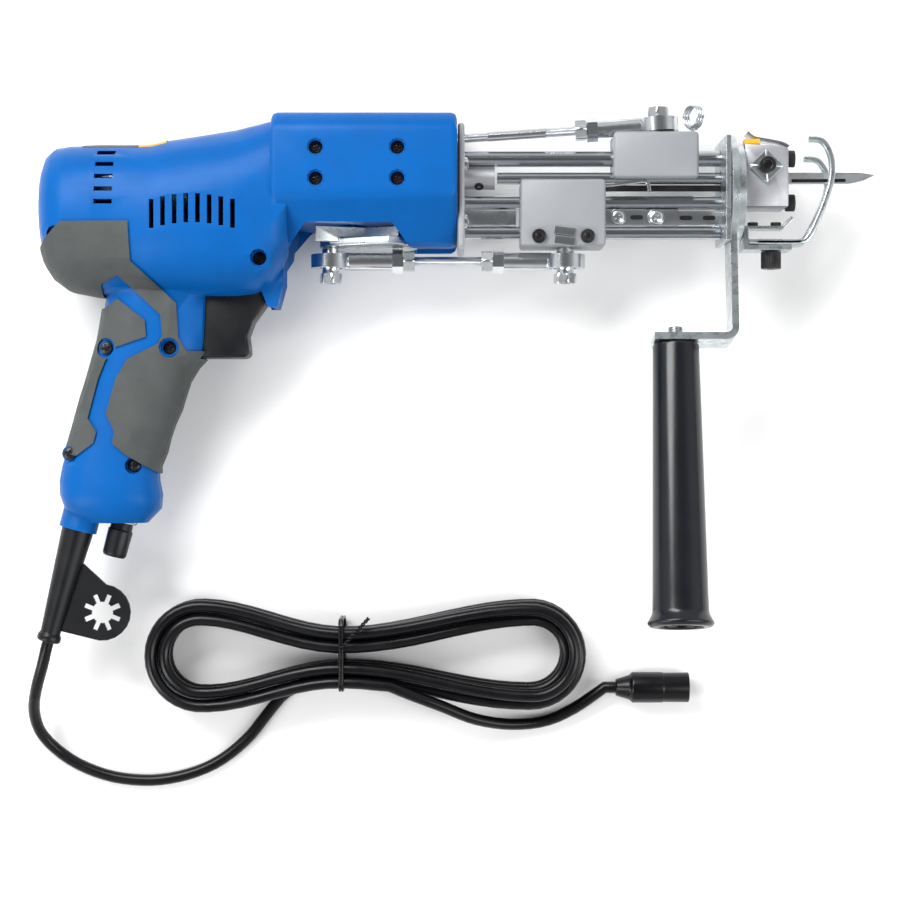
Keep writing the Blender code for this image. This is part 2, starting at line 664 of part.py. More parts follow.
# The upper link slopes down from the needle block to the upper crank
UPPER_BLOCK_TOP_Y = 118.75 * MM
UPPER_LINK_LENGTH = 144 * MM
LOWER_LINK_LENGTH = 117 * MM
UPPER_LINK_SLOPE = math.radians(3.8)
UPPER_BALL_Y = UPPER_BLOCK_TOP_Y + SEAT + BALL_WIDTH / 2
UPPER_REAR_BALL_Y = UPPER_BALL_Y - UPPER_LINK_LENGTH * math.sin(UPPER_LINK_SLOPE)
UPPER_REAR_BALL_X = CRANK_X + CRANK_THROW
UPPER_FRONT_BALL_X = UPPER_REAR_BALL_X + UPPER_LINK_LENGTH * math.cos(UPPER_LINK_SLOPE)
LOWER_REAR_BALL_X = CRANK_X - CRANK_THROW
LOWER_FRONT_BALL_X = LOWER_REAR_BALL_X + LOWER_LINK_LENGTH
UPPER_CRANK_TOP_Y = UPPER_REAR_BALL_Y - BALL_WIDTH / 2 - SEAT
UPPER_CRANK_SWEEP = 22 * MM
HOUSING_TOP_Y = UPPER_CRANK_TOP_Y - CRANK_WEB - SEAT


def gear_outline(teeth, root, tip):
    points = []
    for i in range(teeth):
        for share, radius in ((0.0, root), (0.3, root), (0.45, tip), (0.8, tip)):
            angle = TURN * (i + share) / teeth
            points.append((radius * math.cos(angle), radius * math.sin(angle)))
    return points


def sector_web(name, pin_side, sweep, base_y, finish):
    """A crank web: a small round end at the pin, and a wide counterweight opposite."""
    pin_end = CRANK_THROW + PINION_RADIUS
    outline = []
    for angle in np.linspace(-0.3 * TURN / 2, 0.3 * TURN / 2, 9):
        outline.append((-pin_side * sweep * math.cos(angle), sweep * math.sin(angle)))
    for angle in np.linspace(0.36 * TURN / 2, -0.36 * TURN / 2, 9):
        outline.append((pin_side * pin_end * math.cos(angle), pin_end * math.sin(angle)))
    placed = [(CRANK_X + across, MID_Z + out) for across, out in outline]
    return outline_solid(name, placed, base_y, base_y + CRANK_WEB, finish, "XZ")


def build_drive():
    room_top_y = HOUSING_TOP_Y - HOUSING_CEILING
    housing = block("gearbox_housing", (HOUSING_REAR_X, HOUSING_BASE_Y, MID_Z - HOUSING_HALF_WIDTH),
                    (HOUSING_FRONT_X, HOUSING_TOP_Y, MID_Z + HOUSING_HALF_WIDTH), ALLOY, WALL / 2, 1)
    cut(housing,
        cylinder("wheel_room", WHEEL_ROOT_RADIUS + WALL, (CRANK_X, HOUSING_BASE_Y + HOUSING_FLOOR, MID_Z),
                          room_top_y - HOUSING_BASE_Y - HOUSING_FLOOR, "Y", sides=24))
    cut(housing, cylinder("motor_hole", PINION_RADIUS + RUN_CLEARANCE,
                          (HOUSING_REAR_X - OVERRUN, MOTOR_Y, MID_Z), OVERRUN + WHEEL_RADIUS, "X"))
    cut(housing, cylinder("bearing_bore", BEARING_RADIUS + SEAT, (CRANK_X, HOUSING_BASE_Y - OVERRUN, MID_Z),
                          HOUSING_TOP_Y - HOUSING_BASE_Y + 2 * OVERRUN, "Y", sides=20))
    for name, base_y, width in (("lower_bearing", HOUSING_BASE_Y, HOUSING_FLOOR),
                                ("upper_bearing", room_top_y, HOUSING_CEILING)):
        bearing = cylinder(name, BEARING_RADIUS, (CRANK_X, base_y, MID_Z), width, "Y", STEEL, 20)
        cut(bearing, cylinder("race", SHAFT_RADIUS + SEAT, (CRANK_X, base_y - OVERRUN, MID_Z),
                              width + 2 * OVERRUN, "Y", sides=16))
    wheel = outline_solid("crown_wheel",
                          [(CRANK_X + x, MID_Z + z) for x, z in gear_outline(WHEEL_TEETH, WHEEL_ROOT_RADIUS,
                                                                            WHEEL_RADIUS)],
                          WHEEL_BASE_Y, WHEEL_BASE_Y + WHEEL_THICKNESS, BRASS, "XZ")
    cut(wheel, cylinder("hub_bore", SHAFT_RADIUS + SEAT, (CRANK_X, WHEEL_BASE_Y - OVERRUN, MID_Z),
                        WHEEL_THICKNESS + 2 * OVERRUN, "Y", sides=16))
    lower = sector_web("lower_crank", -1, CRANK_SWEEP, LOWER_CRANK_BASE_Y, STEEL)
    fold = CRANK_SWEEP * 0.55
    wall_outline = [(CRANK_X + x, MID_Z + z) for x, z in (
        (-fold * 0.9, fold), (fold * 0.4, fold * 0.55), (fold * 1.3, fold * 0.95),
        (fold * 1.3, fold * 0.95 - CRANK_WEB), (fold * 0.4, fold * 0.55 - CRANK_WEB),
        (-fold * 0.9, fold - CRANK_WEB))]
    join(lower, outline_solid("fin", wall_outline, LOWER_CRANK_BASE_Y + CRANK_WEB / 2,
                              LOWER_CRANK_BASE_Y + CRANK_WEB + COUNTERWEIGHT_WALL - SEAT, plane="XZ"))
    shaft_low_y = LOWER_CRANK_BASE_Y
    cut(lower, cylinder("shaft_seat", SHAFT_RADIUS + SEAT, (CRANK_X, shaft_low_y - OVERRUN, MID_Z),
                        CRANK_WEB + COUNTERWEIGHT_WALL + 2 * OVERRUN, "Y", sides=16))
    crankshaft = sector_web("crankshaft", 1, UPPER_CRANK_SWEEP, UPPER_CRANK_TOP_Y - CRANK_WEB, STEEL)
    join(crankshaft, cylinder("shaft", SHAFT_RADIUS, (CRANK_X, shaft_low_y, MID_Z),
                              UPPER_CRANK_TOP_Y - CRANK_WEB / 2 - shaft_low_y, "Y", sides=16))


# Motor, rotor and fan
MOTOR_REAR_X = -190 * MM
MOTOR_LENGTH = 56 * MM
MOTOR_RADIUS = 18 * MM
MOTOR_WALL = 1.6 * MM
ROTOR_RADIUS = 14.5 * MM
MOTOR_SHAFT_RADIUS = 2 * MM
MOTOR_HUB_RADIUS = 6 * MM
FAN_RADIUS = 23 * MM
FAN_WIDTH = 9 * MM
FAN_BLADES = 9
FAN_X = -122 * MM
BLADE = 1.4 * MM


def build_motor():
    front_x = MOTOR_REAR_X + MOTOR_LENGTH
    can = cylinder("motor_can", MOTOR_RADIUS, (MOTOR_REAR_X, MOTOR_Y, MID_Z), MOTOR_LENGTH, "X", STEEL, 20)
    cut(can, cylinder("can_room", MOTOR_RADIUS - MOTOR_WALL, (MOTOR_REAR_X - OVERRUN, MOTOR_Y, MID_Z),
                      MOTOR_LENGTH + OVERRUN - MOTOR_WALL * 2, "X", sides=20))
    cut(can,
        cylinder("can_bore", MOTOR_SHAFT_RADIUS + SEAT, (front_x - OVERRUN, MOTOR_Y, MID_Z), 2 * OVERRUN,
                      "X", sides=12))
    cap = cylinder("motor_end_cap", MOTOR_RADIUS - MOTOR_WALL - SEAT, (MOTOR_REAR_X, MOTOR_Y, MID_Z),
                   MOTOR_WALL * 3, "X", BLACK, 20)
    cut(cap, cylinder("cap_bore", MOTOR_SHAFT_RADIUS + SEAT, (MOTOR_REAR_X - OVERRUN, MOTOR_Y, MID_Z),
                      2 * OVERRUN + MOTOR_WALL * 3, "X", sides=12))
    rotor_start, rotor_end = MOTOR_WALL * 7, MOTOR_LENGTH - MOTOR_WALL * 5
    pinion_start = CRANK_X - WHEEL_RADIUS - MOTOR_REAR_X
    commutator = MOTOR_HUB_RADIUS
    profile = [
        (0, 0), (0, MOTOR_SHAFT_RADIUS), (rotor_start - BLADE * 2, MOTOR_SHAFT_RADIUS),
        (rotor_start - BLADE * 2, commutator), (rotor_start, commutator), (rotor_start, ROTOR_RADIUS),
        (rotor_end, ROTOR_RADIUS), (rotor_end, commutator), (rotor_end + BLADE, MOTOR_SHAFT_RADIUS),
        (pinion_start + PINION_LENGTH, MOTOR_SHAFT_RADIUS), (pinion_start + PINION_LENGTH, 0),
    ]
    turned("motor_rotor", profile, (MOTOR_REAR_X, MOTOR_Y, MID_Z), "X", COPPER, 12)
    outline = [(MOTOR_Y + y, MID_Z + z) for y,
               z in gear_outline(PINION_TEETH, PINION_ROOT_RADIUS, PINION_RADIUS)]
    pinion = outline_solid("motor_pinion", outline, CRANK_X - WHEEL_RADIUS,
                           CRANK_X - WHEEL_RADIUS + PINION_LENGTH,
                           STEEL, "YZ")
    cut(pinion,
        cylinder("pinion_bore", MOTOR_SHAFT_RADIUS + SEAT,
                 (CRANK_X - WHEEL_RADIUS - OVERRUN, MOTOR_Y, MID_Z),
                         PINION_LENGTH + 2 * OVERRUN, "X", sides=12))
    fan = cylinder("cooling_fan", MOTOR_HUB_RADIUS, (FAN_X, MOTOR_Y, MID_Z), FAN_WIDTH, "X", BLACK, 18)
    join(fan,
         cylinder("fan_disc", FAN_RADIUS, (FAN_X + FAN_WIDTH - BLADE, MOTOR_Y, MID_Z), BLADE, "X",
                  sides=24))
    for i in range(FAN_BLADES):
        blade = block("blade", (FAN_X + BLADE, MOTOR_HUB_RADIUS * 0.8, -BLADE / 2),
                      (FAN_X + FAN_WIDTH - BLADE / 2, FAN_RADIUS - BLADE / 2, BLADE / 2))
        blade.matrix_world = (Matrix.Translation((0, MOTOR_Y, MID_Z))
                              @ Matrix.Rotation(TURN * i / FAN_BLADES, 4, "X"))
        join(fan, remade(blade))
    cut(fan, cylinder("fan_bore", MOTOR_SHAFT_RADIUS + SEAT, (FAN_X - OVERRUN, MOTOR_Y, MID_Z),
                      FAN_WIDTH + 2 * OVERRUN, "X", sides=12))


# Front flange, guide rods and end plates
FLANGE_REAR_X = FRONT_CASE_END_X + SEAT
FLANGE_THICKNESS = 3.3 * MM
FLANGE_TOP_Y = 120.75 * MM
FLANGE_HEIGHT = 60.5 * MM
FLANGE_HALF_WIDTH = 28 * MM
NOTCH_HALF_WIDTH = 12.5 * MM
NOTCH_DEPTH = 9.5 * MM
UPPER_ROD_Y = 106.75 * MM
UPPER_ROD_RADIUS = 4 * MM
NEEDLE_BAR_Y = 97 * MM
NEEDLE_BAR_RADIUS = 3 * MM
MIDDLE_ROD_Y = 84.75 * MM
LOWER_ROD_Y = 69.75 * MM
LOWER_ROD_RADIUS = 3.4 * MM
END_PLATE_X = 130.75 * MM
END_PLATE_THICKNESS = 2.6 * MM
END_PLATE_HEIGHT = 51.5 * MM
END_PLATE_TOP_Y = 115.75 * MM
END_PLATE_HALF_WIDTH = 23 * MM
BARREL_AXIS_Y = 90.5 * MM
BRACKET_THICKNESS = 3.5 * MM
BRACKET_RING_RADIUS = 27.5 * MM
STRAP_HALF_WIDTH = 11 * MM
BRACKET_DROP = 78 * MM
BRACKET_REACH = 41.5 * MM
BRACKET_BEND = 6 * MM
HANDLE_TILT = math.radians(10)
RING_RADIUS = 24 * MM
RING_THICKNESS = 3.4 * MM
NEEDLE_STROKE = 20 * MM
FLANGE_FRONT_X = FLANGE_REAR_X + FLANGE_THICKNESS
BRACKET_X = END_PLATE_X + END_PLATE_THICKNESS + SEAT
RING_X = BRACKET_X + BRACKET_THICKNESS + SEAT
NOSE_X = RING_X + RING_THICKNESS + SEAT
BAR_BORE = NEEDLE_BAR_RADIUS + 1 * MM
BUSH_RADIUS = 5.7 * MM
BUSH_LENGTH = 15.5 * MM
BLADE_TOP_Y = NEEDLE_BAR_Y - NEEDLE_BAR_RADIUS - RUN_CLEARANCE
BLADE_HEIGHT = 3 * MM
BLADE_HALF = 0.7 * MM


def rod_bore(name, y, radius, start_x, end_x):
    return cylinder(name, radius, (start_x - OVERRUN, y, MID_Z), end_x - start_x + 2 * OVERRUN, "X",
                    sides=12)


def needle_passage(start_x, end_x):
    """The keyhole that lets the needle bar and the blade under it pass."""
    bore = rod_bore("bar_bore", NEEDLE_BAR_Y, BAR_BORE, start_x, end_x)
    slot = block("blade_slot",
                 (start_x - OVERRUN, BLADE_TOP_Y - BLADE_HEIGHT - RUN_CLEARANCE,
                  MID_Z - BLADE_HALF - RUN_CLEARANCE),
                 (end_x + OVERRUN, NEEDLE_BAR_Y, MID_Z + BLADE_HALF + RUN_CLEARANCE))
    return join(bore, slot)


def build_frame():
    flange_low_y = FLANGE_TOP_Y - FLANGE_HEIGHT
    flange = block("front_flange", (FLANGE_REAR_X, flange_low_y, MID_Z - FLANGE_HALF_WIDTH),
                   (FLANGE_FRONT_X, FLANGE_TOP_Y, MID_Z + FLANGE_HALF_WIDTH), ALLOY, WALL / 3, 1)
    cut(flange,
        block("notch", (FLANGE_REAR_X - OVERRUN, FLANGE_TOP_Y - NOTCH_DEPTH, MID_Z - NOTCH_HALF_WIDTH),
                      (FLANGE_FRONT_X + OVERRUN, FLANGE_TOP_Y + OVERRUN, MID_Z + NOTCH_HALF_WIDTH)))
    rod_start_x = FLANGE_FRONT_X + SEAT
    join(flange,
         cylinder("bar_bush", BUSH_RADIUS, (FLANGE_FRONT_X - SEAT, NEEDLE_BAR_Y, MID_Z), BUSH_LENGTH, "X",
                          sides=12))
    cut(flange, rod_bore("bar_bore", NEEDLE_BAR_Y, NEEDLE_BAR_RADIUS + RUN_CLEARANCE, FLANGE_REAR_X,
                         FLANGE_FRONT_X + BUSH_LENGTH))
    cut(flange,
        rod_bore("rod_room", UPPER_ROD_Y, UPPER_ROD_RADIUS + SEAT, rod_start_x,
                 FLANGE_FRONT_X + BUSH_LENGTH))
    for name, y, radius, end_x in (
        ("upper_guide_rod", UPPER_ROD_Y, UPPER_ROD_RADIUS, NOSE_X - SEAT),
        ("middle_guide_rod", MIDDLE_ROD_Y, LOWER_ROD_RADIUS, NOSE_X - SEAT),
        ("lower_guide_rod", LOWER_ROD_Y, LOWER_ROD_RADIUS, END_PLATE_X - SEAT),
    ):
        cylinder(name, radius, (rod_start_x, y, MID_Z), end_x - rod_start_x, "X", STEEL, 20)
    rods = ((UPPER_ROD_Y, UPPER_ROD_RADIUS), (MIDDLE_ROD_Y, LOWER_ROD_RADIUS))
    end_plate = block("end_plate",
                      (END_PLATE_X, END_PLATE_TOP_Y - END_PLATE_HEIGHT, MID_Z - END_PLATE_HALF_WIDTH),
                      (END_PLATE_X + END_PLATE_THICKNESS, END_PLATE_TOP_Y, MID_Z + END_PLATE_HALF_WIDTH),
                      STEEL)
    ring = cylinder("retaining_ring", RING_RADIUS, (RING_X, BARREL_AXIS_Y, MID_Z), RING_THICKNESS, "X",
                    STEEL, 28)
    for plate in (end_plate, build_bracket(), ring):
        cut(plate, needle_passage(END_PLATE_X, NOSE_X))
        cut(plate, *(rod_bore("rod_bore", y, radius + SEAT, END_PLATE_X, NOSE_X) for y, radius in rods))


# Tilted bracket and front handle, drawn upright and then turned about the barrel's axis
HANDLE_X = 107 * MM
HANDLE_LENGTH = 140 * MM
HANDLE_TOP_RADIUS = 11.5 * MM
HANDLE_FOOT_RADIUS = 13.8 * MM
HANDLE_LIP_RADIUS = 16.5 * MM
HANDLE_LIP = 4 * MM
HANDLE_BORE_RADIUS = 10.5 * MM
HANDLE_BORE_DEPTH = 78 * MM
HANDLE_BOLT_RADIUS = 3.9 * MM
HANDLE_BOLT_STAND = 4.5 * MM
HANDLE_BOLT_DEPTH = 12 * MM
STRAP_LOW_Y = BARREL_AXIS_Y - BRACKET_DROP


def tilt(thing, finish):
    pivot = Vector((0, BARREL_AXIS_Y, MID_Z))
    thing.matrix_world = (Matrix.Translation(pivot) @ Matrix.Rotation(-HANDLE_TILT, 4, "X")
                          @ Matrix.Translation(-pivot))
    return remade(thing, finish)


def bracket_outline():
    """Side view of the strap: down from the ring, round a bend and back under the bolt."""
    front_x = BRACKET_X + BRACKET_THICKNESS
    rear_x = front_x - BRACKET_REACH
    corner = [(front_x - BRACKET_BEND, STRAP_LOW_Y + BRACKET_BEND)] * 2
    outer, inner = [], []
    for angle in np.linspace(0, TURN / 4, 5):
        across, up = math.cos(angle), math.sin(angle)
        outer.append((corner[0][0] + BRACKET_BEND * across, corner[0][1] - BRACKET_BEND * up))
        shrunk = BRACKET_BEND - BRACKET_THICKNESS
        inner.append((corner[0][0] + shrunk * across, corner[0][1] - shrunk * up))
    top_y = BARREL_AXIS_Y - RING_RADIUS / 2
    return ([(front_x, top_y)] + outer + [(rear_x, STRAP_LOW_Y), (rear_x, STRAP_LOW_Y + BRACKET_THICKNESS)]
            + inner[::-1] + [(BRACKET_X, top_y)])


def build_bracket():
    bracket = outline_solid("handle_bracket", bracket_outline(), MID_Z - STRAP_HALF_WIDTH,
                            MID_Z + STRAP_HALF_WIDTH, STEEL)
    join(bracket,
         cylinder("ring", BRACKET_RING_RADIUS, (BRACKET_X, BARREL_AXIS_Y, MID_Z), BRACKET_THICKNESS,
                           "X", sides=28))
    cut(bracket, cylinder("bolt_hole", HANDLE_BOLT_RADIUS + SEAT, (HANDLE_X, STRAP_LOW_Y - OVERRUN, MID_Z),
                          BRACKET_THICKNESS + 2 * OVERRUN, "Y", sides=16))
    return tilt(bracket, STEEL)


def build_handle():
    top_y = STRAP_LOW_Y - SEAT
    foot_y = top_y - HANDLE_LENGTH
    profile = [
        (0, 0), (0, HANDLE_LIP_RADIUS - HANDLE_LIP / 2), (HANDLE_LIP / 2, HANDLE_LIP_RADIUS),
        (HANDLE_LIP, HANDLE_LIP_RADIUS - HANDLE_LIP / 4), (HANDLE_LIP * 1.6, HANDLE_FOOT_RADIUS),
        (HANDLE_LENGTH, HANDLE_TOP_RADIUS), (HANDLE_LENGTH, 0),
    ]
    handle = turned("front_handle", profile, (HANDLE_X, foot_y, MID_Z), "Y", BLACK, 24)
    cut(handle, cylinder("handle_bore", HANDLE_BORE_RADIUS, (HANDLE_X, foot_y - OVERRUN, MID_Z),
                         HANDLE_BORE_DEPTH + OVERRUN, "Y", sides=24, far_radius=HANDLE_BORE_RADIUS * 0.8))
    cut(handle,
        cylinder("bolt_bore", HANDLE_BOLT_RADIUS + SEAT,
                 (HANDLE_X, top_y - HANDLE_BOLT_DEPTH - SEAT, MID_Z),
                         HANDLE_BOLT_DEPTH + OVERRUN, "Y", sides=16))
    tilt(handle, BLACK)
    bolt = cylinder("handle_bolt", HANDLE_BOLT_RADIUS, (HANDLE_X, top_y - HANDLE_BOLT_DEPTH, MID_Z),
                    HANDLE_BOLT_DEPTH + SEAT + BRACKET_THICKNESS + HANDLE_BOLT_STAND, "Y", STEEL, 16)
    tilt(bolt, STEEL)


# Nose block, its screws and clips
NOSE_LENGTH = 21.7 * MM
NOSE_TOP_Y = 112.75 * MM
NOSE_HEIGHT = 31.2 * MM
NOSE_HALF_WIDTH = 13 * MM
NOSE_SLOPE = 2.4 * MM
SCREW_HEAD_RADIUS = 4.25 * MM
SCREW_HEAD = 4.6 * MM
SCREW_SHANK_RADIUS = 2.5 * MM
SCREW_DEPTH = 10 * MM
SOCKET_ACROSS = 4.2 * MM
GUARD_THICKNESS = 0.8 * MM
YARN_GUARD_HALF_WIDTH = 6 * MM
GUARD_RISE = 6 * MM
WASHER_ACROSS = 12.5 * MM
WASHER_THICKNESS = 2.2 * MM
NOSE_FRONT_X = NOSE_X + NOSE_LENGTH


def cap_screw(name, start, axis, head_radius=SCREW_HEAD_RADIUS, head=SCREW_HEAD, depth=SCREW_DEPTH,
              facing=1):
    """A socket screw whose shank goes back from its seat and whose head stands forward."""
    profile = [(-depth, 0), (-depth, SCREW_SHANK_RADIUS), (0, SCREW_SHANK_RADIUS), (0, head_radius),
               (head, head_radius), (head, 0)]
    socket = (head * 0.4, SOCKET_ACROSS / math.sqrt(3))
    if facing < 0:
        profile = [(-along, radius) for along, radius in reversed(profile)]
    screw = turned(name, profile, start, axis, BLACK, 12)
    offset = {"X": Vector((1, 0, 0)), "Y": Vector((0, 1, 0)), "Z": Vector((0, 0, 1))}[axis]
    low = head - socket[0] if facing > 0 else -head - OVERRUN
    cut(screw,
        cylinder("socket", socket[1], Vector(start) + low * offset, socket[0] + OVERRUN, axis, sides=6))
    return screw


def build_nose():
    low_y = NOSE_TOP_Y - NOSE_HEIGHT
    outline = [(NOSE_X, low_y), (NOSE_FRONT_X, low_y), (NOSE_FRONT_X, NOSE_TOP_Y - NOSE_SLOPE),
               (NOSE_FRONT_X - NOSE_SLOPE, NOSE_TOP_Y - NOSE_SLOPE / 2), (NOSE_X, NOSE_TOP_Y)]
    nose = outline_solid("nose_block", outline, MID_Z - NOSE_HALF_WIDTH, MID_Z + NOSE_HALF_WIDTH, ALLOY,
                         rounding=WALL / 4)
    cut(nose, needle_passage(NOSE_X, NOSE_FRONT_X))
    for level, y in (("upper", UPPER_ROD_Y), ("lower", MIDDLE_ROD_Y)):
        cut(nose,
            cylinder("screw_bore", SCREW_SHANK_RADIUS + SEAT, (NOSE_FRONT_X - SCREW_DEPTH - SEAT, y, MID_Z),
                           SCREW_DEPTH + OVERRUN, "X", sides=12))
        cap_screw("nose_screw_" + level, (NOSE_FRONT_X + SEAT, y, MID_Z), "X")
    washer_z = MID_Z + NOSE_HALF_WIDTH + SEAT
    place = (NOSE_X + NOSE_LENGTH * 0.48, NOSE_TOP_Y - NOSE_HEIGHT * 0.36, washer_z)
    depth = WASHER_THICKNESS + SEAT + SCREW_DEPTH / 2
    cut(nose,
        cylinder("clamp_bore", SCREW_SHANK_RADIUS + SEAT,
                 (place[0], place[1], washer_z - SCREW_DEPTH / 2 - 2 * SEAT),
                       SCREW_DEPTH, "Z", sides=12))
    screw = cap_screw("needle_clamp_screw", (place[0], place[1], washer_z + WASHER_THICKNESS), "Z",
                      depth=depth)
    join(screw,
         cylinder("diamond_washer", WASHER_ACROSS / math.sqrt(2), place, WASHER_THICKNESS + SEAT, "Z",
                  sides=4,
                         turn=TURN / 4))


# Presser foot below the nose
FOOT_SEAT_Y = 63 * MM
FOOT_PLATE = 2.5 * MM
FOOT_HALF_WIDTH = 9.5 * MM
FOOT_BRACKET_LENGTH = 24 * MM
FOOT_BRACKET_RISE = 9 * MM
PRONG_WIDTH = 4.5 * MM
PRONG_THICKNESS = 3 * MM
PRONG_REACH = 41 * MM
PRONG_RISE = 51 * MM
FAR_PRONG_DROP = 8 * MM
FOOT_SCREW_RADIUS = 5 * MM
FOOT_SCREW_HEAD = 8.5 * MM
GUARD_PLATE_LENGTH = 25 * MM
# Centre line of a prong as shares of its reach and rise
PRONG_SHARES = (
    (0.1, 0.0), (0.6, 0.0), (0.72, 0.05), (0.82, 0.2), (0.93, 0.42), (1.0, 0.62), (1.0, 0.8), (0.94, 0.93),
    (0.86, 0.99), (0.72, 1.0),
)


def ribbon(path, thickness):
    """An outline of even thickness round a flat path."""
    path = np.array(path)
    run = np.gradient(path, axis=0)
    side = np.stack([-run[:, 1], run[:, 0]], axis=1) / np.linalg.norm(run, axis=1)[:, None]
    outer, inner = path + side * thickness / 2, path - side * thickness / 2
    return [tuple(point) for point in outer] + [tuple(point) for point in inner[::-1]]


def build_foot():
    start_x = NOSE_X
    base_y = FOOT_SEAT_Y
    bracket_outline_points = [
        (start_x, base_y - FOOT_PLATE), (start_x + FOOT_BRACKET_LENGTH, base_y - FOOT_PLATE),
        (start_x + FOOT_BRACKET_LENGTH, base_y), (start_x + FOOT_PLATE, base_y),
        (start_x + FOOT_PLATE, base_y + FOOT_BRACKET_RISE), (start_x, base_y + FOOT_BRACKET_RISE)]
    bracket = outline_solid("foot_bracket", bracket_outline_points, MID_Z - FOOT_HALF_WIDTH,
                            MID_Z + FOOT_HALF_WIDTH,
                            STEEL)
    foot_x = start_x + FOOT_PLATE + SEAT
    plate_y = base_y + SEAT
    foot = block("presser_foot", (foot_x, plate_y, MID_Z - FOOT_HALF_WIDTH),
                 (foot_x + PRONG_REACH * 0.62, plate_y + FOOT_PLATE, MID_Z + FOOT_HALF_WIDTH), STEEL)
    for side, drop in ((1, 0), (-1, FAR_PRONG_DROP)):
        path = [(foot_x + along * PRONG_REACH, plate_y + FOOT_PLATE / 2 + up * (PRONG_RISE - drop))
                for along, up in PRONG_SHARES]
        outer_z = MID_Z + side * FOOT_HALF_WIDTH
        inner_z = outer_z - side * PRONG_WIDTH
        join(foot,
             outline_solid("prong", ribbon(path, PRONG_THICKNESS), min(inner_z, outer_z),
                           max(inner_z, outer_z)))
    screw_x = foot_x + FOOT_BRACKET_LENGTH / 2
    for thing in (bracket, foot):
        cut(thing, cylinder("screw_hole", SCREW_SHANK_RADIUS + SEAT, (screw_x, base_y - 2 * OVERRUN, MID_Z),
                            4 * OVERRUN, "Y", sides=12))
    cap_screw("foot_screw", (screw_x, base_y - FOOT_PLATE - SEAT, MID_Z), "Y", FOOT_SCREW_RADIUS,
              FOOT_SCREW_HEAD,
              2 * FOOT_PLATE + SEAT, facing=-1)
    guard_y = base_y + FOOT_BRACKET_RISE - GUARD_THICKNESS
    path = [(start_x, guard_y + GUARD_THICKNESS),
            (start_x + GUARD_PLATE_LENGTH * 0.8, guard_y + GUARD_THICKNESS),
            (start_x + GUARD_PLATE_LENGTH, guard_y + GUARD_RISE)]
    join(bracket, outline_solid("guard", ribbon(path, 2 * GUARD_THICKNESS), MID_Z - YARN_GUARD_HALF_WIDTH,
                                MID_Z + YARN_GUARD_HALF_WIDTH))


# Needle carriage and cutter carriage
NEEDLE_BLOCK_REAR_X = 76.5 * MM
CARRIAGE_LENGTH = 42 * MM
NEEDLE_BLOCK_HEIGHT = 23 * MM
CARRIAGE_HALF_WIDTH = 14 * MM
CUTTER_BLOCK_REAR_X = 30.5 * MM
CUTTER_BLOCK_TOP_Y = 95.2 * MM
CARRIAGE_ROUNDING = 1.5 * MM
BOLT_SHANK_RADIUS = 3 * MM
UPPER_BOLT_DEPTH = 6 * MM
LOWER_BOLT_DEPTH = 3 * MM
LINK_GROOVE_DEPTH = 2.2 * MM
LINK_GROOVE_HALF = 8 * MM
EYE_RADIUS = 10 * MM
NEEDLE_LENGTH = 57 * MM
NEEDLE_HALF_WIDTH = 1.6 * MM
NEEDLE_HEIGHT = 5.6 * MM
NEEDLE_CHANNEL_SHARE = 0.62
# Share of the needle's length that its channel runs along; the blade stays in it at full stroke
CHANNEL_REACH_SHARE = 0.88
BLADE_TIP_X = TIP_X - NEEDLE_LENGTH * (1 - CHANNEL_REACH_SHARE) - 2 * NEEDLE_STROKE - SEAT
LOOP_RADIUS = 5.6 * MM
LOOP_WIRE = 0.65 * MM
LOOP_PITCH = 2.1 * MM
LOOP_TURNS = 3
# Side view of the needle as shares of its length and height
NEEDLE_SHARES = ((0.0, 0.0), (0.78, 0.0), (0.9, 0.28), (1.0, 0.78), (0.86, 1.0), (0.0, 1.0))


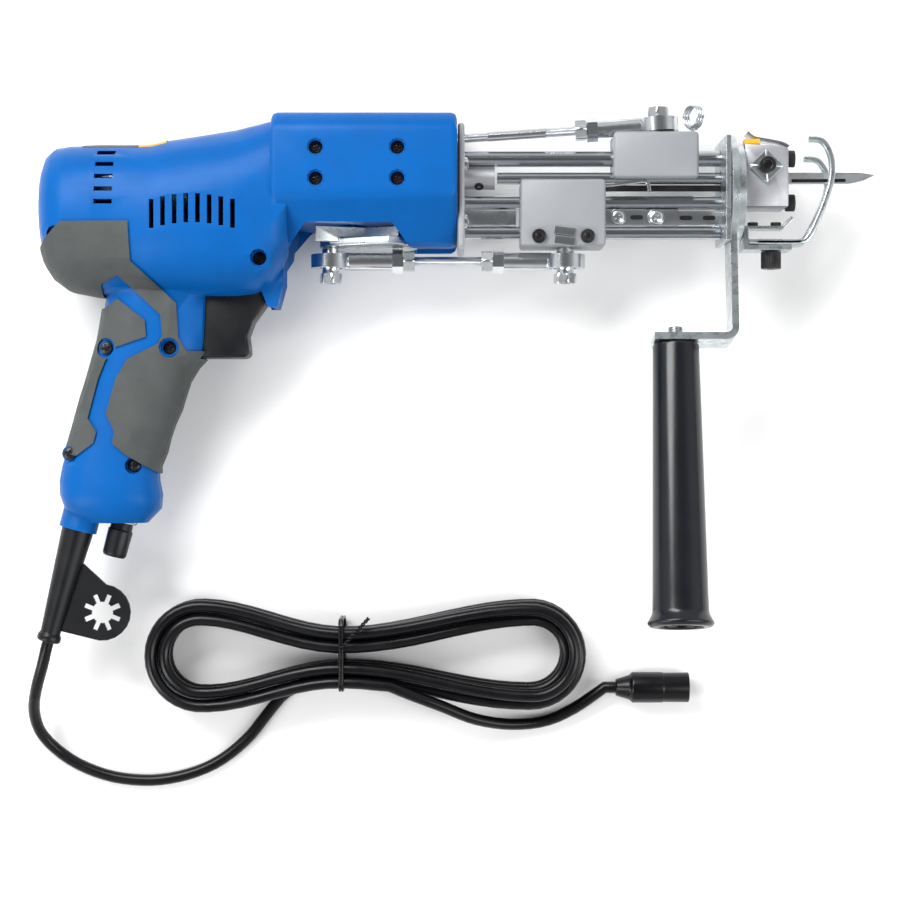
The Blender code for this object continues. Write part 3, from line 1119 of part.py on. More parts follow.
def build_carriages():
    needle_block_top = UPPER_BLOCK_TOP_Y
    upper = block("needle_carriage",
                  (NEEDLE_BLOCK_REAR_X, needle_block_top - NEEDLE_BLOCK_HEIGHT,
                   MID_Z - CARRIAGE_HALF_WIDTH),
                  (NEEDLE_BLOCK_REAR_X + CARRIAGE_LENGTH, needle_block_top, MID_Z + CARRIAGE_HALF_WIDTH),
                  NYLON,
                  CARRIAGE_ROUNDING)
    end_x = NEEDLE_BLOCK_REAR_X + CARRIAGE_LENGTH
    cut(upper,
        rod_bore("guide_bore", UPPER_ROD_Y, UPPER_ROD_RADIUS + RUN_CLEARANCE, NEEDLE_BLOCK_REAR_X, end_x))
    cut(upper, rod_bore("bar_bore", NEEDLE_BAR_Y, NEEDLE_BAR_RADIUS + SEAT, NEEDLE_BLOCK_REAR_X, end_x))
    cut(upper, block("link_groove",
                     (NEEDLE_BLOCK_REAR_X - OVERRUN, needle_block_top - LINK_GROOVE_DEPTH,
                      MID_Z - LINK_GROOVE_HALF),
                     (UPPER_FRONT_BALL_X - EYE_RADIUS / 2, needle_block_top + OVERRUN,
                      MID_Z + LINK_GROOVE_HALF)))
    cut(upper, cylinder("bolt_bore", BOLT_SHANK_RADIUS + SEAT,
                        (UPPER_FRONT_BALL_X, UPPER_BLOCK_TOP_Y - UPPER_BOLT_DEPTH - SEAT, MID_Z),
                        UPPER_BOLT_DEPTH + OVERRUN, "Y", sides=12))
    lower = block("cutter_carriage", (CUTTER_BLOCK_REAR_X, LOWER_CRANK_BASE_Y, MID_Z - CARRIAGE_HALF_WIDTH),
                  (CUTTER_BLOCK_REAR_X + CARRIAGE_LENGTH, CUTTER_BLOCK_TOP_Y, MID_Z + CARRIAGE_HALF_WIDTH),
                  NYLON,
                  CARRIAGE_ROUNDING)
    end_x = CUTTER_BLOCK_REAR_X + CARRIAGE_LENGTH
    for y, radius in ((MIDDLE_ROD_Y, LOWER_ROD_RADIUS), (LOWER_ROD_Y, LOWER_ROD_RADIUS),
                      (NEEDLE_BAR_Y, NEEDLE_BAR_RADIUS)):
        cut(lower, rod_bore("guide_bore", y, radius + RUN_CLEARANCE, CUTTER_BLOCK_REAR_X, end_x))
    cut(lower, cylinder("bolt_bore", BOLT_SHANK_RADIUS + SEAT,
                        (LOWER_FRONT_BALL_X, LOWER_CRANK_BASE_Y - OVERRUN, MID_Z),
                        LOWER_BOLT_DEPTH + SEAT + OVERRUN, "Y", sides=12))
    bar_start_x = FLANGE_REAR_X + NEEDLE_STROKE - SEAT
    needle_x = TIP_X - NEEDLE_LENGTH
    cylinder("needle_bar", NEEDLE_BAR_RADIUS, (bar_start_x, NEEDLE_BAR_Y, MID_Z),
             needle_x - SEAT - bar_start_x,
             "X", STEEL, 20)
    needle_low_y = NEEDLE_BAR_Y - NEEDLE_HEIGHT / 2
    outline = [(needle_x + along * NEEDLE_LENGTH, needle_low_y + up * NEEDLE_HEIGHT) for along,
               up in NEEDLE_SHARES]
    needle = outline_solid("needle", outline, MID_Z - NEEDLE_HALF_WIDTH, MID_Z + NEEDLE_HALF_WIDTH, STEEL)
    channel_top_y = needle_low_y + NEEDLE_HEIGHT * NEEDLE_CHANNEL_SHARE
    cut(needle, block("channel", (needle_x - OVERRUN, needle_low_y - OVERRUN, MID_Z - BLADE_HALF - SEAT),
                      (needle_x + NEEDLE_LENGTH * CHANNEL_REACH_SHARE, channel_top_y,
                       MID_Z + BLADE_HALF + SEAT)))
    blade_low_y = BLADE_TOP_Y - BLADE_HEIGHT
    blade_high_y = channel_top_y - SEAT
    rise_x = needle_x + 2 * SEAT
    blade_outline = [
        (end_x + SEAT, blade_low_y), (BLADE_TIP_X - BLADE_HEIGHT, blade_low_y), (BLADE_TIP_X, blade_high_y),
        (rise_x + BLADE_HEIGHT, blade_high_y), (rise_x, BLADE_TOP_Y), (end_x + SEAT, BLADE_TOP_Y)]
    outline_solid("cutter_blade", blade_outline, MID_Z - BLADE_HALF, MID_Z + BLADE_HALF, STEEL)
    loop_x = NEEDLE_BLOCK_REAR_X + CARRIAGE_LENGTH - LOOP_PITCH * LOOP_TURNS / 2
    loop_y = UPPER_BLOCK_TOP_Y + SEAT + 3 * MM + LOOP_RADIUS
    points = [(loop_x, UPPER_BLOCK_TOP_Y + SEAT, MID_Z)]
    for i in range(LOOP_TURNS * 10 + 1):
        angle = TURN * i / 10
        points.append((loop_x + LOOP_PITCH * i / 10, loop_y - LOOP_RADIUS * math.cos(angle),
                       MID_Z + LOOP_RADIUS * math.sin(angle)))
    tube("yarn_loop", points, LOOP_WIRE, STEEL, 1)


# Adjustable links between the cranks and the carriages
SHANK_RADIUS = 4.4 * MM
SHANK_LENGTH = 31 * MM
EYE_HEX_ACROSS = 10.6 * MM
EYE_HEX_LENGTH = 5 * MM
NUT_ACROSS = 9.6 * MM
NUT_LENGTH = 5.5 * MM
STUD_RADIUS = 2.5 * MM
STUD_GRIP = 12 * MM
HEAD_ACROSS = 10 * MM


def build_rod_end(name, ball_x, length_sign):
    """An eye with its shank and hexagon, drawn along X from its ball at the middle plane."""
    eye = cylinder(name, EYE_RADIUS, (ball_x, -EYE_WIDTH / 2, 0), EYE_WIDTH, "Y", STEEL, 24)
    reach = SHANK_LENGTH + EYE_HEX_LENGTH
    start = ball_x + (BALL_RADIUS + WALL / 2 if length_sign > 0 else -SHANK_LENGTH)
    join(eye,
         cylinder("shank", SHANK_RADIUS, (start, 0, 0), SHANK_LENGTH - BALL_RADIUS - WALL / 2, "X",
                  sides=12))
    hex_start = ball_x + (SHANK_LENGTH - SEAT if length_sign > 0 else -reach)
    join(eye, hexagon("hex", EYE_HEX_ACROSS, (hex_start, 0, 0), EYE_HEX_LENGTH + SEAT, "X"))
    cut(eye,
        cylinder("ball_bore", BALL_RADIUS + SEAT, (ball_x, -EYE_WIDTH, 0), 2 * EYE_WIDTH, "Y", sides=16))
    bore_start = ball_x + (reach - STUD_GRIP - SEAT if length_sign > 0 else -reach - OVERRUN)
    cut(eye,
        cylinder("stud_bore", STUD_RADIUS + SEAT, (bore_start, 0, 0), STUD_GRIP + SEAT + OVERRUN, "X",
                 sides=12))
    return eye


def ball_bolt(name, place, stem, head, head_side, depth):
    """A ball on a bolt: the head on one side, a plain shank on the other."""
    flat = math.sqrt(BALL_RADIUS ** 2 - (EYE_WIDTH / 2) ** 2)
    profile = [(-stem - depth, 0), (-stem - depth, BOLT_SHANK_RADIUS),
               (-EYE_WIDTH / 2 - SEAT, BOLT_SHANK_RADIUS),
               (-EYE_WIDTH / 2, flat), (-EYE_WIDTH / 4, BALL_RADIUS * 0.95), (0, BALL_RADIUS),
               (EYE_WIDTH / 4, BALL_RADIUS * 0.95), (EYE_WIDTH / 2, flat),
               (EYE_WIDTH / 2 + SEAT, BOLT_SHANK_RADIUS), (stem, BOLT_SHANK_RADIUS), (stem, 0)]
    if head_side < 0:
        profile = [(-along, radius) for along, radius in reversed(profile)]
    bolt = turned(name, profile, place, "Y", STEEL, 12)
    base = place[1] + (stem - SEAT if head_side > 0 else -stem - head)
    return join(bolt, hexagon("head", HEAD_ACROSS, (place[0], base, place[2]), head + SEAT, "Y"))


def build_link(name, rear, length, slope):
    """Two rod ends on a stud with lock nuts, laid from the rear ball at the link's slope."""
    pose = Matrix.Translation(rear) @ Matrix.Rotation(slope, 4, "Z")
    reach = SHANK_LENGTH + EYE_HEX_LENGTH
    stud = cylinder(name + "_stud", STUD_RADIUS, (reach - STUD_GRIP, 0, 0),
                    length - 2 * (reach - STUD_GRIP), "X",
                    STEEL, 12)
    join(stud, hexagon("nut", NUT_ACROSS, (reach + SEAT, 0, 0), NUT_LENGTH, "X"))
    join(stud, hexagon("nut", NUT_ACROSS, (length - reach - SEAT - NUT_LENGTH, 0, 0), NUT_LENGTH, "X"))
    pieces = [stud, build_rod_end(name + "_rear_eye", 0, 1), build_rod_end(name + "_front_eye", length, -1)]
    for piece in pieces:
        piece.matrix_world = pose
        remade(piece, STEEL)


UPPER_STEM = BALL_WIDTH / 2
UPPER_HEAD = 4.5 * MM
UPPER_REAR_HEAD = 3.2 * MM
LOWER_HEAD = 5 * MM


def build_links():
    build_link("needle_link", (UPPER_REAR_BALL_X, UPPER_REAR_BALL_Y, MID_Z), UPPER_LINK_LENGTH,
               UPPER_LINK_SLOPE)
    build_link("cutter_link", (LOWER_REAR_BALL_X, LOWER_LINK_Y, MID_Z), LOWER_LINK_LENGTH, 0)
    ball_bolt("needle_link_front_bolt", (UPPER_FRONT_BALL_X, UPPER_BALL_Y, MID_Z), UPPER_STEM, UPPER_HEAD,
              1,
              UPPER_BOLT_DEPTH)
    ball_bolt("needle_link_rear_bolt", (UPPER_REAR_BALL_X, UPPER_REAR_BALL_Y, MID_Z), UPPER_STEM,
              UPPER_REAR_HEAD, 1, 0)
    ball_bolt("cutter_link_front_bolt", (LOWER_FRONT_BALL_X, LOWER_LINK_Y, MID_Z), LOWER_STEM, LOWER_HEAD,
              -1,
              LOWER_BOLT_DEPTH)
    ball_bolt("cutter_link_rear_bolt", (LOWER_REAR_BALL_X, LOWER_LINK_Y, MID_Z), LOWER_STEM, LOWER_HEAD,
              -1, 0)


# Cord, its gland and its hank
CORD_RADIUS = 3 * MM
HANK_LEFT_X = -158 * MM
HANK_RIGHT_X = 64 * MM
WAIST_X = -59.5 * MM
HANK_Y = -142.5 * MM
LOBE_RADIUS = 27 * MM
WAIST_HALF = 13.8 * MM
STRAND_PITCH = 7 * MM
LAYER_PITCH = 6.6 * MM
LAYERS = 4
TURNS_PER_LAYER = 1.5
START_X = -74 * MM
PAST_TIE = 0.055
ENTRY_BOW = 0.6 * MM
LOOP_POINTS = 24
POINT_STEP = 2.4
TIE_WIDTH = 2.4 * MM
TIE_SLACK = 1 * MM
TIE_THICKNESS = 1.1 * MM
TIE_LIFT = TIE_THICKNESS + TIE_SLACK
HUMP_SPREAD = 22 * MM
KEY_PLATE_HALF = 1.25 * MM
STAR_RADIUS = 9.4 * MM
STAR_CORE_RADIUS = 5.4 * MM
STAR_POINTS = 8
STAR_SLOT = 2.4 * MM
CONNECTOR_RADIUS = 8 * MM
CONNECTOR_LENGTH = 38 * MM
CONNECTOR_BORE_RADIUS = 5.6 * MM
CONNECTOR_BORE_DEPTH = 13 * MM
LEAD_ROUTE = [
    (-208.5, -146.0, 36.0), (-213.0, -159.0, 29.0), (-216.0, -171.0, 19.0), (-214.5, -183.0, 10.0),
    (-207.0, -193.0, 4.5), (-194.5, -201.5, 3.0), (-177.0, -207.5, 3.0), (-157.0, -209.0, 3.0),
    (-138.0, -205.5, 3.0), (-122.5, -198.5, 3.0), (-108.5, -187.0, 3.0), (-98.5, -174.5, 3.0),
    (-90.0, -164.6, 3.0),
]
TAIL_ROUTE = [
    (-24.0, -163.0, 22.8), (-9.0, -168.8, 20.5), (8.0, -176.0, 15.0),
    (26.0, -179.6, 7.5), (44.0, -178.4, 4.4), (59.0, -171.8, 5.6),
]
CONNECTOR_PLACE = (80.0, -160.6, 8.0)


def free_stretch(start, start_direction, route, end, end_direction):
    """A smooth cord through hand-picked points, straight for one diameter at both ends."""
    diameter = 2 * CORD_RADIUS
    inner = [start + diameter * start_direction] + [Vector(point) * MM for point in route]
    inner.append(end - diameter * end_direction)
    points = np.array([tuple(start)] + list(smooth_path(inner, POINT_STEP * diameter)) + [tuple(end)])
    points[:, 2] = np.maximum(points[:, 2], CORD_RADIUS)
    return points


def hank_centre_line():
    """One loop's outer centre line, as rows of x, y and the inward direction."""
    left_x, right_x = HANK_LEFT_X + LOBE_RADIUS, HANK_RIGHT_X - LOBE_RADIUS

    def half_height(x):
        reach = (WAIST_X - left_x) if x < WAIST_X else (right_x - WAIST_X)
        share = min(1, abs(x - WAIST_X) / reach)
        return WAIST_HALF + (LOBE_RADIUS - WAIST_HALF) * (1 - math.cos(math.pi * share)) / 2

    def arc(centre_x, start, stop):
        return [(centre_x + LOBE_RADIUS * math.cos(angle), LOBE_RADIUS * math.sin(angle))
                for angle in np.linspace(start, stop, 60, endpoint=False)]

    quarter = TURN / 4
    points = [(x, -half_height(x)) for x in np.linspace(START_X, right_x, 80, endpoint=False)]
    points += arc(right_x, -quarter, quarter)
    points += [(x, half_height(x)) for x in np.linspace(right_x, left_x, 120, endpoint=False)]
    points += arc(left_x, quarter, 3 * quarter)
    points += [(x, -half_height(x)) for x in np.linspace(left_x, START_X, 50, endpoint=False)]
    return np.array(points)


def hank_points():
    """One cord wound in a drawn-in loop that spirals in and out and climbs along the runs."""
    line = hank_centre_line()
    run = np.roll(line, -1, axis=0) - np.roll(line, 1, axis=0)
    inward = np.stack([-run[:, 1], run[:, 0]], axis=1) / np.linalg.norm(run, axis=1)[:, None]
    step = np.linalg.norm(np.roll(line, -1, axis=0) - line, axis=1)
    turning = np.abs(np.sum(np.roll(run, -1, axis=0) * inward, axis=1)) / np.linalg.norm(run, axis=1)
    weight = np.cumsum(np.concatenate([[0], step * 0.45 + turning * LOBE_RADIUS * 0.55]))
    share_of_line = weight / weight[-1]
    rows = np.arange(len(line) + 1)
    loops = LAYERS * TURNS_PER_LAYER + PAST_TIE
    points = []
    for turn in np.linspace(0, loops, round(loops * LOOP_POINTS) + 1):
        row = np.interp(turn % 1, share_of_line, rows)
        low = int(row) % len(line)
        high = (low + 1) % len(line)
        mix = row - int(row)
        place = line[low] * (1 - mix) + line[high] * mix
        side = inward[low] * (1 - mix) + inward[high] * mix
        layer = turn / TURNS_PER_LAYER
        row_of_layer = min(LAYERS - 1, int(layer))
        spiral = layer - row_of_layer
        offset = STRAND_PITCH * TURNS_PER_LAYER * (1 - spiral if row_of_layer % 2 else spiral)
        offset -= ENTRY_BOW * max(0, 1 - LOOP_POINTS * turn)
        nearest = round(layer)
        climb = (layer - nearest) * TURNS_PER_LAYER / 0.11
        level = min(LAYERS - 1, max(0, nearest - 0.5 + max(-0.5, min(0.5, climb / 2))))
        hump = TIE_LIFT * math.exp(-((place[0] - WAIST_X) / HUMP_SPREAD) ** 2)
        spot = place + side * offset
        points.append((spot[0], HANK_Y + spot[1], CORD_RADIUS + hump + level * LAYER_PITCH))
    return np.array(points)


def least_gap(points, diameter):
    """The least clear distance between stretches that are over four diameters apart."""
    fine = np.concatenate([np.linspace(a, b, 6, endpoint=False) for a, b in zip(points, points[1:])])
    travel = np.concatenate([[0], np.cumsum(np.linalg.norm(np.diff(fine, axis=0), axis=1))])
    distance = np.linalg.norm(fine[:, None] - fine[None], axis=2)
    distance[np.abs(travel[:, None] - travel[None]) < 4 * diameter] = np.inf
    return distance.min() - diameter


def build_cord():
    profile = [(-GLAND_SOCKET_DEPTH, 0), (-GLAND_SOCKET_DEPTH, GLAND_RADIUS),
               (GLAND_LENGTH * 0.12, GLAND_RADIUS),
               (GLAND_LENGTH * 0.95, GLAND_TIP_RADIUS), (GLAND_LENGTH * 0.96, GLAND_TIP_RADIUS * 1.2),
               (GLAND_LENGTH, GLAND_TIP_RADIUS * 1.15), (GLAND_LENGTH, 0)]
    slanted("cord_gland", profile, CORD_EXIT, CORD_DIRECTION, BLACK)
    side = Vector((-CORD_DIRECTION.y, CORD_DIRECTION.x, 0))
    star_centre = along_cord(GLAND_LENGTH * 0.68) + side * (GLAND_RADIUS + STAR_RADIUS * 1.55)
    outline = [along_cord(GLAND_LENGTH * 0.3)]
    for angle in np.linspace(0.27 * TURN, -0.27 * TURN, 13):
        spoke = (math.cos(angle) * side - math.sin(angle) * CORD_DIRECTION)
        outline.append(star_centre + spoke * STAR_RADIUS * 1.5)
    outline.append(along_cord(GLAND_LENGTH * 0.9))
    plate = outline_solid("key_holder", [(point.x, point.y) for point in outline], MID_Z - KEY_PLATE_HALF,
                          MID_Z + KEY_PLATE_HALF, BLACK)
    cut(plate, slanted("gland_room", [(along, radius + SEAT if radius else 0) for along, radius in profile],
                       CORD_EXIT, CORD_DIRECTION))
    low_z = MID_Z - KEY_PLATE_HALF - OVERRUN
    star = cylinder("star", STAR_CORE_RADIUS, (star_centre.x, star_centre.y, low_z),
                    2 * (KEY_PLATE_HALF + OVERRUN),
                    "Z", sides=16)
    for i in range(STAR_POINTS // 2):
        arm = block("arm", (-STAR_RADIUS, -STAR_SLOT / 2, low_z),
                    (STAR_RADIUS, STAR_SLOT / 2, MID_Z + OVERRUN))
        arm.matrix_world = (Matrix.Translation((star_centre.x, star_centre.y, 0))
                            @ Matrix.Rotation(TURN * (i + 0.5) / STAR_POINTS, 4, "Z"))
        join(star, remade(arm))
    cut(plate, star)

    hank = hank_points()
    print("hank length", np.linalg.norm(np.diff(hank, axis=0), axis=1).sum(), "least gap",
          least_gap(hank, 2 * CORD_RADIUS))
    tube("cord_hank", hank, CORD_RADIUS, BLACK, 1)
    entry, leaving = (Vector(step).normalized() for step in (hank[1] - hank[0], hank[-1] - hank[-2]))
    lead_points = free_stretch(along_cord(GLAND_LENGTH + SEAT), CORD_DIRECTION, LEAD_ROUTE,
                               Vector(hank[0]) - SEAT * entry, entry)
    tube("cord_lead", lead_points, CORD_RADIUS, BLACK, 2)
    plug = Vector(CONNECTOR_PLACE) * MM
    along_x = Vector((1, 0, 0))
    tail_points = free_stretch(Vector(hank[-1]) + SEAT * leaving, leaving, TAIL_ROUTE,
                               plug - SEAT * along_x, along_x)
    tube("cord_tail", tail_points, CORD_RADIUS, BLACK, 2)
    for name, points in (("lead", lead_points), ("tail", tail_points)):
        print(name, "length", np.linalg.norm(np.diff(points, axis=0), axis=1).sum())
    body = [(0, 0), (0, CORD_RADIUS * 1.5), (CONNECTOR_LENGTH * 0.2, CONNECTOR_RADIUS * 0.85),
            (CONNECTOR_LENGTH * 0.24, CONNECTOR_RADIUS), (CONNECTOR_LENGTH, CONNECTOR_RADIUS * 0.96),
            (CONNECTOR_LENGTH, 0)]
    connector = turned("cord_connector", body, plug, "X", BLACK)
    bore_x = plug.x + CONNECTOR_LENGTH - CONNECTOR_BORE_DEPTH
    cut(connector, cylinder("plug_bore", CONNECTOR_BORE_RADIUS, (bore_x, plug.y, plug.z),
                            CONNECTOR_BORE_DEPTH + OVERRUN, "X", sides=12))
    build_tie()


def build_tie():
    """A band that hugs the outermost strands at the waist and passes under them."""
    wrap = CORD_RADIUS + TIE_SLACK
    low_z = CORD_RADIUS + TIE_LIFT
    high_z = low_z + (LAYERS - 1) * LAYER_PITCH

    def racetrack(radius):
        outline = []
        for corner, (across, up) in enumerate(((1, 1), (-1, 1), (-1, -1), (1, -1))):
            for angle in np.linspace(corner, corner + 1, 5) * TURN / 4:
                outline.append((HANK_Y + across * WAIST_HALF + radius * math.cos(angle),
                                (high_z if up > 0 else low_z) + radius * math.sin(angle)))
        return outline

    tie = outline_solid("cord_tie", racetrack(wrap + TIE_THICKNESS), WAIST_X - TIE_WIDTH / 2,
                        WAIST_X + TIE_WIDTH / 2,
                        BLACK, "YZ")
    cut(tie, outline_solid("bundle", racetrack(wrap), WAIST_X - TIE_WIDTH, WAIST_X + TIE_WIDTH, plane="YZ"))


def hang(name, place, pieces, parent=None):
    """An empty on a joint's axis that carries the pieces which move with that joint."""
    pivot = bpy.data.objects.new(name, None)
    pivot.location = place
    PARTS.objects.link(pivot)
    bpy.context.view_layer.update()
    for child in [bpy.data.objects[piece] for piece in pieces]:
        child.parent = pivot
        child.matrix_parent_inverse = pivot.matrix_world.inverted()
    if parent:
        pivot.parent = parent
        pivot.matrix_parent_inverse = parent.matrix_world.inverted()
    return pivot


def hang_bodies():
    def link_pieces(link):
        return [link + "_" + piece for piece in ("stud", "front_eye", "rear_eye", "rear_bolt")]

    hang("crank_pivot", (CRANK_X, WHEEL_BASE_Y, MID_Z), ("crankshaft", "crown_wheel", "lower_crank"))
    hang("motor_pivot", (MOTOR_REAR_X, MOTOR_Y, MID_Z), ("motor_rotor", "motor_pinion", "cooling_fan"))
    hang("trigger_slide", (TRIGGER_REAR_X, TRIGGER_TOP_Y, MID_Z), ("trigger",))
    hang("knob_pivot", KNOB_TOP, ("speed_knob",))
    needle_slide = hang("needle_slide", (UPPER_FRONT_BALL_X, NEEDLE_BAR_Y, MID_Z), (
        "needle_carriage", "needle_bar", "needle", "yarn_loop", "needle_link_front_bolt"))
    cutter_slide = hang("cutter_slide", (LOWER_FRONT_BALL_X, MIDDLE_ROD_Y, MID_Z), (
        "cutter_carriage", "cutter_blade", "cutter_link_front_bolt"))
    hang("needle_link_pivot", (UPPER_FRONT_BALL_X, UPPER_BALL_Y, MID_Z), link_pieces("needle_link"),
         needle_slide)
    hang("cutter_link_pivot", (LOWER_FRONT_BALL_X, LOWER_LINK_Y, MID_Z), link_pieces("cutter_link"),
         cutter_slide)


def main():
    build_shells()
    build_controls()
    build_drive()
    build_motor()
    build_frame()
    build_handle()
    build_nose()
    build_foot()
    build_carriages()
    build_links()
    build_cord()
    hang_bodies()


main()
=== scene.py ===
"""Handheld tufting machine: finishes, fittings, cord, light and camera over the packed frame.

X runs from the motor end to the needle tip, Y from the front handle's foot to the top of the
casing, and Z up from the surface that the machine lies on. Lengths are in metres.
"""

import json
import logging
import math
from collections.abc import Iterable, Sequence
from dataclasses import dataclass
from enum import Enum

import bmesh
import bpy
import numpy as np
from mathutils import Matrix, Vector
from mathutils.bvhtree import BVHTree

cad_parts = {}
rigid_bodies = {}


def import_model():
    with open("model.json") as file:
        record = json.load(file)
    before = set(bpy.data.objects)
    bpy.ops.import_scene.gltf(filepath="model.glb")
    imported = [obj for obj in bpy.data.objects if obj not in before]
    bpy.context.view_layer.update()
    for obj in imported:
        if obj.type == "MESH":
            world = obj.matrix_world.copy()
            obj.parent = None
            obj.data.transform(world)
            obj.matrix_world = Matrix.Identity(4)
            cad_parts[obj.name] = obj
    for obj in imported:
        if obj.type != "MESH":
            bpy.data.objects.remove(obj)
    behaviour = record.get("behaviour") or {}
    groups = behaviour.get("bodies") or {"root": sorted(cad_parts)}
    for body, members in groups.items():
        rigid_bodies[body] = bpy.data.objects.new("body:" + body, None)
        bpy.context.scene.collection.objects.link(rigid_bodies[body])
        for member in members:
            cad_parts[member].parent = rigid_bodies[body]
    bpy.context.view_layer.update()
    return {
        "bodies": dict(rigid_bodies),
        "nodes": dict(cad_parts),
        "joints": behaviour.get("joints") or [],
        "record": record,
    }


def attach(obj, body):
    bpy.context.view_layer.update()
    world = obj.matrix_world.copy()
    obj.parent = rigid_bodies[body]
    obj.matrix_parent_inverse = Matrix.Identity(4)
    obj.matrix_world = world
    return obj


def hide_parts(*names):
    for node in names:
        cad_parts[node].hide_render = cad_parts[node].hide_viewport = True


MM = 0.001
TURN = 2 * math.pi
TINY = 1e-9
MID_Z = 38 * MM
RAIL_Y = 77.3 * MM
# The way that the grip's foot faces, which the knob and the cord follow
GRIP_SLANT = math.radians(14.9)
GRIP_AXIS = (-math.sin(GRIP_SLANT), -math.cos(GRIP_SLANT), 0.0)
LOG = logging.getLogger("tufting_machine")
Colour = tuple[float, float, float]
Point = Sequence[float]
Pairs = tuple[tuple[float, float], ...]


class Slot(Enum):
    """The record's material slots."""

    BLUE = "blue_plastic"
    RUBBER = "grey_rubber"
    BLACK = "black_plastic"
    STEEL = "steel"
    BLACK_STEEL = "black_steel"
    ALLOY = "alloy"
    NYLON = "white_nylon"
    COPPER = "copper"
    BRASS = "brass"
    CORD = "cord_rubber"


class Lay(Enum):
    """The axis that a swept section keeps upright."""

    X = (1.0, 0.0, 0.0)
    Z = (0.0, 0.0, 1.0)


# Finishes


